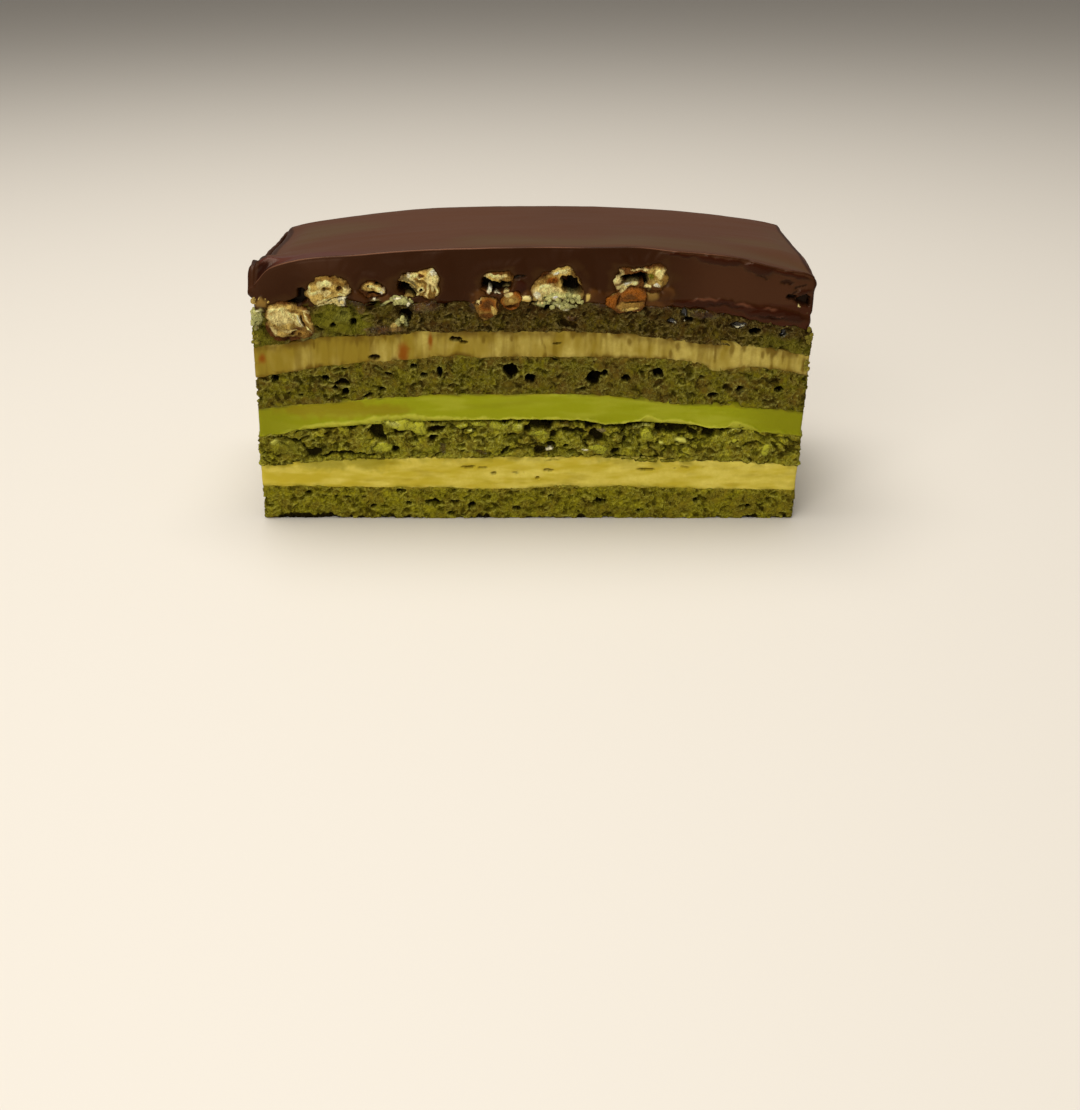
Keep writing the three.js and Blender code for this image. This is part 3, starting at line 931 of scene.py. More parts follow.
# Painted shade in the cracks, along the seam at the bottom and in the open crevice.
seam_shade = smooth(0.4, 0.1, second_wall.rise) * smooth(-0.3, 0.3, clouds(second_wall.points, 2.5, 352))
crevice_shade = smooth(0.2, 0.9, second_gap) * (1 - far_caught)
crumb_pit_shade = np.maximum(second_grids["pit"], 0.7 * cracks) * (1 - second_cover)
lump_colour = tint(*KINDS["lump"][0])
on_front = second_wall.front[..., None]
second_grids["pit"] = np.maximum.reduce([crumb_pit_shade, 0.55 * seam_shade, crevice_shade])
second_grids["rim"] = second_grids["rim"] * (1 - second_cover)
second_grids["patch"] = np.maximum(0.95 * second_cover, 0.9 * far_caught)
second_grids["patch_colour"] = lump_colour + (second_colour - lump_colour) * on_front
second_grids["gloss"] = second_gloss * second_wall.front
second_grids["smear"] = smeared(second_wall, seed=360, below=1.2, above=0)
second_material = sponge_material(
    "second sponge",
    crumb=(184, 177, 46),
    dark=(104, 97, 11),
    warm=(104, 84, 22),
    soaked=(88, 76, 18),
    rim=(188, 184, 80),
    pit=(28, 22, 1),
    smear=(146, 136, 36),
    patched=True,
)
sheet(second_wall, second_relief, second_grids, second_material)

# ----------------------------------------
# Green tea cream. A smooth white chocolate cream with green tea, poured on and chilled firm. It cuts
# cleanly, and its lower edge hangs over the crevice as a thin, ragged, paler lip.
# ----------------------------------------

green_wall = Wall(GREEN, CREAM_STEP, rows=26)
lip = smooth(0.5, 0.1, green_wall.rise + 0.5 * clouds(green_wall.points, 1.1, 460))
lip_rise = (0.2 + 0.2 * noise(green_wall.points, 0.8, 461)) * lip
green_relief = cream_relief(green_wall, seed=400, along=7.0, up=1.4) + lip_rise
lights = 0.35 * smooth(-0.2, 0.6, clouds(green_wall.points / [5, 5, 1], 1.4, 431))
streaks = 0.35 * smooth(0.0, 0.7, clouds(green_wall.points / [8, 8, 1], 1.2, 441))
top_stain = 0.45 * smooth(0.5, 0.0, green_wall.drop) * smooth(-0.2, 0.4, clouds(green_wall.points, 4, 451))
GREEN_STAINS = [(-35.5, 21.4, 8.5, 1.7), (-27, 21.2, 5, 1.1), (-41, 21.0, 3, 1.0)]
green_grids = {
    "tone": np.maximum(0.9 * lip, lights),
    "streak": np.maximum(streaks, 0.9 * smooth(34, 47, np.abs(green_wall.x + 1))),
    "stain": np.maximum(0.55 * spots(green_wall, GREEN_STAINS, 1.2), top_stain),
    "smear": smeared(green_wall, seed=470, below=0, above=0.5),
    "cut": np.zeros(green_wall.rise.shape),
}
green_material = cream_material(
    "green tea cream",
    body=(148, 152, 18),
    light=(190, 188, 66),
    dark=(130, 130, 12),
    stain=(134, 108, 16),
    smear=(92, 86, 20),
    rough=0.4,
    speckles=0.3,
)
sheet(green_wall, green_relief, green_grids, green_material)

# ----------------------------------------
# Third sponge. The most open of the four sheets: besides its fine crumb it has a few large holes,
# painted black with shade, and the knife has dragged brown syrup over parts of it.
# ----------------------------------------

# Its large holes in the front cut, as spots.
THIRD_HOLES = [
    (-3.8, 28.5, 1.2, 1.2),
    (-0.2, 26.9, 0.8, 0.85),
    (10.8, 26.9, 1.25, 1.1),
    (12.9, 28.0, 0.5, 0.5),
    (16.7, 27.1, 0.5, 0.5),
    (22.2, 28.0, 0.75, 0.6),
    (-45.2, 26.9, 0.6, 0.6),
    (-36.3, 27.1, 0.6, 0.5),
    (-32.8, 24.5, 0.6, 0.6),
    (-34.6, 25.2, 0.4, 0.4),
    (-26.3, 25.0, 0.6, 0.4),
    (-20.8, 29.2, 0.5, 0.4),
    (-18.8, 27.6, 0.5, 0.4),
    (-16.2, 28.2, 0.4, 0.8),
    (36.9, 25.0, 0.6, 0.5),
    (32.1, 23.9, 0.8, 0.4),
    (43.8, 25.0, 0.7, 0.4),
]
third_wall = Wall(THIRD, CRUMB_STEP, rows=46)
third_relief, third_grids = crumb_relief(third_wall, seed=500, torn=0.55, holes=THIRD_HOLES)
third_grids["smear"] = smeared(third_wall, seed=560, below=0, above=1.3)
third_material = sponge_material(
    "third sponge",
    crumb=(136, 128, 27),
    dark=(76, 68, 7),
    warm=(92, 66, 24),
    soaked=(88, 66, 24),
    rim=(160, 153, 72),
    pit=(16, 10, 1),
    smear=(118, 94, 34),
)
sheet(third_wall, third_relief, third_grids, third_material)

# ----------------------------------------
# Upper coffee buttercream. The same buttercream, cut from the top down: the knife has dragged brown
# syrup and chocolate over it in upright streaks.
# ----------------------------------------

# Tears in the front, and where it is stained amber and streaked with syrup, all as spots.
UPPER_CUTS = [
    (-13.2, 34.1, 1.0, 0.4),
    (-11.9, 33.6, 0.8, 0.28),
    (-27.5, 30.8, 0.9, 0.4),
    (4.5, 33.4, 0.7, 0.12),
]
upper_wall = Wall(UPPER, CREAM_STEP, rows=26)
upright = upper_wall.points * [1, 1, 0.14]
upper_nicks = 0.8 * tears(upper_wall, seed=610, size=1.6, share=0.02)
upper_nicks = np.maximum(upper_nicks, 1.4 * spots(upper_wall, UPPER_CUTS, 0.5))
upper_relief = cream_relief(upper_wall, seed=600, along=1.2, up=5.0) - upper_nicks
ladder = np.maximum(smooth(2.2, 0.0, upper_wall.drop), 0.7 * smooth(1.2, 0.0, upper_wall.rise))
threads = clouds(upright + 0.5 * noise(upper_wall.points, 2.4, 640)[..., None], 1.1, 641, 3)
drag = smooth(0.12, 0.62, threads + 0.5 * ladder - 0.1)
drag = drag * smooth(-0.3, 0.3, clouds(upper_wall.points, 7, 645, 2))
fine_threads = smooth(0.0, 0.6, clouds(upright * [1, 1, 0.7], 0.62, 648, 2) + 0.35 * ladder)
AMBER_SPOTS = [(-22.4, 31.8, 0.9, 1.7), (-47.2, 30.6, 0.7, 0.8), (-17.7, 34.0, 0.35, 1.2)]
SYRUP_SPOTS = [
    (34.9, 32.5, 0.4, 1.4),
    (40.3, 31.3, 0.3, 0.8),
    (39.1, 28.8, 2.8, 0.5),
    (47.6, 29.4, 0.3, 1.5),
    (43.9, 31.2, 0.25, 1.3),
    (37.0, 32.6, 0.25, 0.7),
    (32.0, 31.6, 0.25, 1.6),
    (25.4, 32.9, 0.5, 1.0),
    (24.2, 31.4, 0.3, 1.0),
    (16.9, 33.7, 0.5, 0.7),
    (-3.6, 34.1, 0.3, 0.6),
    (-38.0, 33.4, 0.3, 1.2),
    (-30.5, 33.6, 0.3, 1.0),
    (-8.5, 34.0, 0.4, 0.8),
]
upper_tone = clouds(upper_wall.points * [1, 1, 0.4], 2.2, 631)
syrup = 0.75 * spots(upper_wall, SYRUP_SPOTS, 1.1)
upper_grids = {
    "tone": smooth(-0.5, 0.5, upper_tone + 0.008 * upper_wall.x),
    "streak": np.maximum.reduce([0.85 * drag, 0.38 * fine_threads, syrup]),
    "stain": spots(upper_wall, AMBER_SPOTS, 1.3),
    # Painted shade in the tears.
    "cut": smooth(0.1, 0.8, upper_nicks),
    "smear": smeared(upper_wall, seed=650, below=0.8, above=1.5),
}
upper_material = cream_material(
    "upper coffee buttercream",
    body=(144, 122, 36),
    light=(196, 177, 92),
    dark=(100, 74, 10),
    stain=(136, 76, 10),
    smear=(92, 66, 12),
    rough=0.5,
)
sheet(upper_wall, upper_relief, upper_grids, upper_material)

# ----------------------------------------
# Where the crisps and nuts lie. Each CAD piece gives its side, its middle and its size; the top sponge
# and the glaze are hollowed out behind the same uneven outline that the piece itself is made with.
# ----------------------------------------

# Each cut side: its outward direction, and the direction to the right as one faces it.
SIDES = {
    "front": (np.array([0.0, -1, 0]), np.array([1.0, 0, 0])),
    "right": (np.array([1.0, 0, 0]), np.array([0.0, 1, 0])),
    "back": (np.array([0.0, 1, 0]), np.array([-1.0, 0, 0])),
    "left": (np.array([-1.0, 0, 0]), np.array([0.0, -1, 0])),
}

# The outlines of the pieces in the front cut: their reach from the middle every 30 degrees,
# anticlockwise from the right.
OUTLINES = {
    "crisp_1": [3.7, 3.6, 3.3, 3.2, 4.1, 4.9, 4.6, 4.8, 4.0, 3.3, 3.4, 4.4],
    "crisp_2": [3.6, 3.5, 2.8, 2.8, 3.3, 3.8, 4.4, 4.1, 2.2, 1.2, 1.3, 2.0],
    "crisp_3": [1.9, 1.6, 1.5, 1.7, 2.0, 2.4, 3.0, 2.2, 1.4, 1.1, 1.2, 1.7],
    "crisp_4": [2.9, 3.2, 3.7, 2.8, 2.7, 4.6, 4.8, 3.6, 1.9, 1.7, 2.9, 3.2],
    "crisp_5": [3.3, 3.6, 2.4, 1.9, 2.1, 2.4, 2.3, 2.5, 2.3, 1.6, 2.0, 2.9],
    "crisp_6": [4.4, 3.4, 3.6, 3.2, 3.1, 3.7, 4.8, 5.1, 2.9, 2.4, 2.4, 4.8],
    "crisp_7": [4.7, 5.0, 2.6, 2.2, 2.1, 4.1, 4.7, 5.0, 2.3, 1.2, 2.2, 4.4],
    "nut_1": [2.0, 2.4, 2.3, 2.1, 2.3, 2.4, 1.9, 1.9, 2.2, 2.1, 1.9, 2.0],
    "nut_2": [0.9, 1.2, 1.5, 1.7, 2.1, 2.5, 2.7, 2.4, 1.9, 1.4, 1.1, 0.9],
    "nut_3": [2.4, 3.0, 3.4, 3.0, 3.2, 3.8, 4.8, 3.0, 1.8, 1.3, 1.8, 2.4],
}
STEP_TURNS = np.radians(30 * np.arange(12))


def half_sizes(outline_reach):
    """The half width and half height of the box round an outline."""
    across = outline_reach * np.cos(STEP_TURNS)
    up = outline_reach * np.sin(STEP_TURNS)
    return np.ptp(across) / 2, np.ptp(up) / 2


class Inlay:
    """A piece set in a cut: its side, its middle on the cut face and its depth, read from its CAD node's
    box. A hidden piece borrows a front one's outline, stretched to its own width and height, and turned
    round for every second piece."""

    def __init__(self, node, seed):
        low, high = (np.array(corner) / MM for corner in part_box(node))
        self.node = node
        self.seed = seed
        middle = (low + high) / 2
        middle = middle - [MIDDLE_X + LEAN * middle[2], MIDDLE_Y, 0]
        reach = {
            "front": -middle[1] / HALF_DEPTH,
            "back": middle[1] / HALF_DEPTH,
            "left": -middle[0] / HALF_WIDTH,
            "right": middle[0] / HALF_WIDTH,
        }
        self.side = max(reach, key=reach.get)
        self.out, self.along = SIDES[self.side]
        size = high - low
        self.deep = abs(self.out @ size) * 0.8
        face = HALF_WIDTH - 0.5 if self.side in ("left", "right") else HALF_DEPTH
        self.middle = middle * np.abs(self.along) + self.out * face + [0, 0, middle[2]]
        kind, number = node.split("_")
        models = [name for name in OUTLINES if name.startswith(kind)]
        self.model = node if node in OUTLINES else models[int(number) * 3 % len(models)]
        self.outline_reach = np.array(OUTLINES[self.model])
        self.wider, self.taller = 1.0, 1.0
        if node not in OUTLINES:
            half_width, half_height = half_sizes(self.outline_reach)
            self.wider = abs(self.along @ size) / 2 / half_width * (-1) ** int(number)
            self.taller = size[2] / 2 / half_height

    def rim(self, angle):
        """How far the outline reaches at each angle: straight between its corners, with small bays."""
        reach = np.interp(np.mod(angle, 2 * np.pi), STEP_TURNS, self.outline_reach, period=2 * np.pi)
        circle = joined(np.cos(angle), np.sin(angle), 3.7 * self.seed)
        return reach * (1 + 0.07 * noise(circle * 3.1, 1.0, 701) + 0.08 * noise(circle * 8, 1.0, 702))

    def reach_of(self, wall):
        """How far each point of a wall lies from this piece's middle: 1 on its outline, less inside."""
        offset = wall.points - self.middle
        across = offset @ self.along / self.wider
        up = offset[..., 2] / self.taller
        reach = np.hypot(across, up) / self.rim(np.arctan2(up, across))
        return np.where(wall.out @ self.out > 0.7, reach, 9.0)


INLAY_NODES = sorted(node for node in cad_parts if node.startswith(("crisp", "nut")))
inlays = {node: Inlay(node, number) for number, node in enumerate(INLAY_NODES)}


def pockets(wall, deep):
    """Depth of the hollows behind all the pieces, and how close each point is to a piece's outline."""
    nearest = np.minimum.reduce([inlay.reach_of(wall) for inlay in inlays.values()])
    return deep * smooth(0.93, 0.8, nearest), nearest


# What lies round the crisps in the front cut, over the top sponge and the glaze, as strokes; the dark
# ones are painted shade in holes, and the white ones painted highlights and glints.
AMONG_CRISPS = [
    ("toast", -9.2, 41.6, 1.6, 1.5, 10, 0.1),
    ("brown", -4.2, 42.6, 4.4, 1.5, 0, 0.1),
    ("toast", -1.4, 42.0, 1.3, 1.0, -20, 0.15),
    ("toast", 10.4, 41.8, 1.2, 1.6, 25, 0.1),
    ("toast", 13.4, 41.4, 1.3, 1.4, 10, 0.1),
    ("brown", 18.2, 41.4, 5.8, 2.0, 0, 0.1),
    ("toast", 23.2, 41.8, 1.1, 2.0, 0, 0.1),
    ("toast", -25.4, 41.6, 1.3, 0.9, 0, 0.1),
    ("green", -34.6, 38.1, 3.9, 2.8, 4, 0.5),
    ("cream", -34.8, 40.9, 2.5, 0.3, 19, 0.7),
    ("white", -33.0, 41.5, 0.7, 0.35, 10, 0.7),
    ("dark", -39.6, 42.0, 0.8, 1.2, 10, -2.6),
    ("dark", -40.7, 40.9, 1.7, 0.7, 22, -2.6),
    ("green", -39.3, 40.0, 1.0, 0.5, 20, -0.5),
    ("gold", -47.0, 40.6, 1.5, 1.0, 14, 0.2),
    ("mint", -47.7, 38.0, 1.2, 1.5, 10, 0.35),
    ("white", -48.3, 38.9, 0.5, 0.35, 30, 0.5),
    ("green", -47.7, 35.0, 1.2, 1.4, 0, 0.2),
    ("brown", -48.3, 34.3, 0.4, 0.7, 0, 0.2),
    ("brown", -29.8, 41.2, 1.5, 1.6, 0, 0.05),
    ("toast", -29.6, 39.4, 0.9, 0.6, 10, 0.15),
    ("dark", -27.4, 40.3, 1.1, 0.5, 10, -1.6),
    ("grey", -27.2, 41.2, 0.9, 0.3, 10, 0.1),
    ("white", -27.5, 41.4, 0.25, 0.18, 0, 0.3),
    ("green", -25.6, 39.6, 1.8, 1.2, 0, 0.1),
    ("mint", -25.2, 41.0, 1.2, 0.3, 28, 0.4),
    ("mint", -22.6, 41.0, 1.4, 0.7, -5, 0.2),
    ("white", -23.4, 41.7, 0.8, 0.2, 10, 0.5),
    ("white", -21.4, 40.4, 0.3, 0.5, -20, 0.5),
    ("dark", -22.0, 38.8, 1.2, 0.6, 0, -2.4),
    ("dark", -21.6, 38.0, 0.5, 0.8, 0, -2.2),
    ("mint", -22.2, 37.3, 1.3, 0.4, -55, 0.4),
    ("tan", -23.9, 36.7, 0.9, 0.5, 20, 0.3),
    ("toast", -26.9, 35.9, 2.7, 0.5, 2, 0.1),
    ("gold", -23.6, 35.9, 1.2, 0.4, 0, 0.1),
    ("toast", -18.5, 40.0, 2.1, 1.1, 0, 0.1),
    ("brown", -10.2, 40.9, 0.8, 1.5, 0, 0.1),
    ("toast", -9.5, 41.1, 0.5, 0.9, 10, 0.3),
    ("slick", -2.0, 43.4, 1.1, 1.1, 0, -0.1),
    ("dark", -2.6, 45.1, 1.5, 0.35, 4, -0.8),
    ("tan", -1.2, 41.1, 0.9, 0.3, -10, 0.3),
    ("cream", -1.4, 41.6, 1.0, 0.3, -20, 0.4),
    ("dark", 0.6, 40.9, 1.5, 0.2, 25, -1.0),
    ("mint", 1.6, 40.4, 1.3, 0.4, 8, 0.3),
    ("dark", 2.4, 39.8, 0.5, 0.45, 0, -1.6),
    ("mint", 5.3, 40.2, 2.4, 0.6, -14, 0.3),
    ("white", 5.0, 40.0, 1.2, 0.16, -20, 0.4),
    ("tan", 9.4, 41.5, 0.4, 0.7, 20, 0.2),
    ("brown", 11.6, 41.2, 1.2, 1.5, 0, 0.1),
    ("toast", 21.1, 40.2, 1.7, 0.8, 0, 0.15),
    ("gold", 20.4, 42.3, 1.0, 1.2, 0, 0.3),
    ("white", 20.9, 42.9, 0.35, 0.35, 0, 0.5),
    ("brown", 23.0, 41.6, 1.0, 1.2, 0, 0.05),
    ("toast", 6.7, 38.0, 0.8, 0.5, 0, 0.2),
    ("brown", 30.1, 38.7, 2.6, 0.7, 0, 0.1),
    ("wet", 26.0, 38.9, 0.6, 0.8, 0, -0.9),
    ("wet", 24.0, 37.3, 0.8, 0.5, 0, -0.7),
    ("white", 24.6, 37.3, 0.22, 0.1, 0, 0.1),
    ("white", 26.1, 37.8, 0.25, 0.1, 0, 0.1),
    ("wet", 35.5, 36.6, 1.6, 0.6, 8, -0.7),
    ("white", 35.4, 36.3, 0.4, 0.1, 8, 0.0),
    ("white", 36.3, 36.5, 0.3, 0.1, 8, 0.0),
    ("wet", 43.4, 34.9, 0.5, 0.6, 0, -0.6),
]


def among_crisps(wall, nearest, seed, mint):
    """The strokes among the front crisps on a wall, and browned patches round every piece on all sides,
    a share of them mint. Gives how far they stand out, and grids for patch, patch_colour and gloss."""
    stand, cover, colour, gloss = brushed(wall.x, wall.z, AMONG_CRISPS, seed=1)
    cover = cover * wall.front
    share = cover[..., None]
    browned = smooth(1.35, 1.0, nearest + 0.3 * noise(wall.points, 1.4, seed)) * (1 - cover)
    mint_share = mint * smooth(0.25, 0.5, noise(wall.points, 1.8, seed + 1))[..., None]
    shade = (1 - mint_share) * tint(62, 38, 12) + mint_share * tint(150, 148, 82)
    grids = {
        "patch": np.maximum(cover, 0.6 * browned),
        "patch_colour": colour * share + shade * (1 - share),
        "gloss": gloss * wall.front,
    }
    return stand * wall.front, grids


# ----------------------------------------
# Top sponge. The last and darkest sheet, wet with syrup and browned by the chocolate on it. The crisps
# and nuts are pressed into its upper side.
# ----------------------------------------

# Its large holes in the front cut, as spots.
TOP_HOLES = [
    (38.6, 35.6, 0.9, 0.6),
    (27.0, 37.6, 0.7, 0.5),
    (-34.6, 36.8, 0.45, 0.35),
    (-31.0, 37.4, 0.5, 0.7),
]
top_wall = Wall(CROWN, CRUMB_STEP, rows=40)
top_relief, top_grids = crumb_relief(top_wall, seed=800, torn=0.8, holes=TOP_HOLES)
top_pocket, top_near = pockets(top_wall, deep=4.5)
top_stand, top_patches = among_crisps(top_wall, top_near, seed=830, mint=0.6)
top_patch = top_patches["patch"]
top_relief = np.clip(top_relief, -2.4, 1) * (1 - 0.4 * top_patch) + top_stand - top_pocket
left_end = np.maximum(
    spots(top_wall, [(-33.4, 37.6, 5.0, 3.0)], 0.9), 0.8 * smooth(-40, -47, top_wall.x)
)
under_edge = smooth(1.2, 3.2, top_wall.drop + noise(top_wall.points, 2, 862))
right_end = 0.6 * smooth(34, 45, top_wall.x) * under_edge
fresh = 0.75 * np.maximum(left_end, right_end) * (1 - top_patch)
fresh_share = (fresh / (fresh + top_patch + 1e-6))[..., None]
browned_colour = top_patches["patch_colour"]
top_grids.update(top_patches)
top_grids["pit"] = top_grids["pit"] * (1 - 0.5 * top_patch)
top_grids["soak"] = np.maximum(0.7 * top_grids["soak"], 1.5 * smooth(3.4, 0.4, top_wall.drop))
top_grids["patch"] = top_patch + fresh
top_grids["patch_colour"] = browned_colour + (tint(122, 120, 28) - browned_colour) * fresh_share
top_grids["smear"] = smeared(top_wall, seed=860, below=0.9, above=0)
top_material = sponge_material(
    "top sponge",
    crumb=(114, 100, 24),
    dark=(42, 31, 5),
    warm=(68, 42, 14),
    soaked=(52, 30, 12),
    rim=(144, 128, 72),
    pit=(14, 7, 1),
    smear=(66, 42, 14),
    patched=True,
)
sheet(top_wall, top_relief, top_grids, top_material)

# ----------------------------------------
# Crisps. Broken pieces of puffed, toasted wafer, strewn over the top sponge before the glaze. The knife
# has opened them: pale flaky insides, toasted skins, and dark hollows where the bubbles were.
# ----------------------------------------


BACK_ROWS = 9  # rings over the hidden back of a set piece


def set_piece(inlay, around, face_rows, face):
    """Rings of a piece set in a cut, from its hidden back round its shoulder to the middle of its face.
    The back is half an oval as deep as the piece. face gives, for places on the cut, how far the face
    stands out and its shading grids."""
    angle = np.arange(around) * 2 * np.pi / around
    turn = np.linspace(0, np.pi / 2, BACK_ROWS + 1)[1:]
    back_out = -inlay.deep * np.cos(turn) - 0.4 * (turn > 1.5)
    inner = np.linspace(0.93, 0.02, face_rows)
    share = np.concatenate([np.sin(turn), [1.0, 0.985, 0.96], inner])[:, None]
    outward = np.concatenate([back_out, [-0.15, 0.02, 0.1], np.full(face_rows, 0.12)])[:, None]
    across = share * inlay.rim(angle) * np.cos(angle)
    up = share * inlay.rim(angle) * np.sin(angle)
    on_face = (np.arange(len(share)) >= BACK_ROWS)[:, None] * smooth(1.0, 0.9, share)
    relief, grids = face(across, up, np.broadcast_to(share, across.shape))
    outward = outward + on_face * relief
    across, up = across * inlay.wider, up * inlay.taller
    points = inlay.middle + across[..., None] * inlay.along + up[..., None] * np.array([0, 0, 1.0])
    points = points + outward[..., None] * inlay.out
    if inlay.wider < 0:
        points = points[:, ::-1]
        grids = {key: grid[:, ::-1] for key, grid in grids.items()}
    return points, grids


def flaky_material(name, speckles, rough):
    """Toasted wafer or sugared nut: its flakes' colours come with the mesh, a fine grain darkens them,
    and painted shade darkens their pores."""
    material, tree, shader = new_material(name)
    speckle = grain(tree, per_metre=2300, contrast=3.0)
    torn = torn_crumb(tree, per_metre=900)
    flakes = attribute(tree, "flake_colour", "Color")
    specks = scaled(tree, speckle["Shade"], speckles, 0)
    # Painted shade in the pores of the torn crumb.
    pores = scaled(tree, torn["Gap"], 0, 1.6 * speckles)
    shade = sum_of(tree, "MAXIMUM", specks, pores)
    colour = mixed(tree, shade, flakes, paint(150, 104, 44), "MULTIPLY")
    rough = scaled(tree, attribute(tree, "gloss"), rough, 0.2)
    rough_skin = bump(tree, speckle["Height"], distance=0.18, strength=0.7)
    normal = bump(tree, torn["Height"], distance=0.2, strength=0.8, under=rough_skin)
    dress(tree, shader, colour, rough, normal, level=0.15, warmth=(1.0, 0.8, 0.5))
    return material


crisp_skin = flaky_material("toasted crisp", speckles=0.4, rough=0.65)

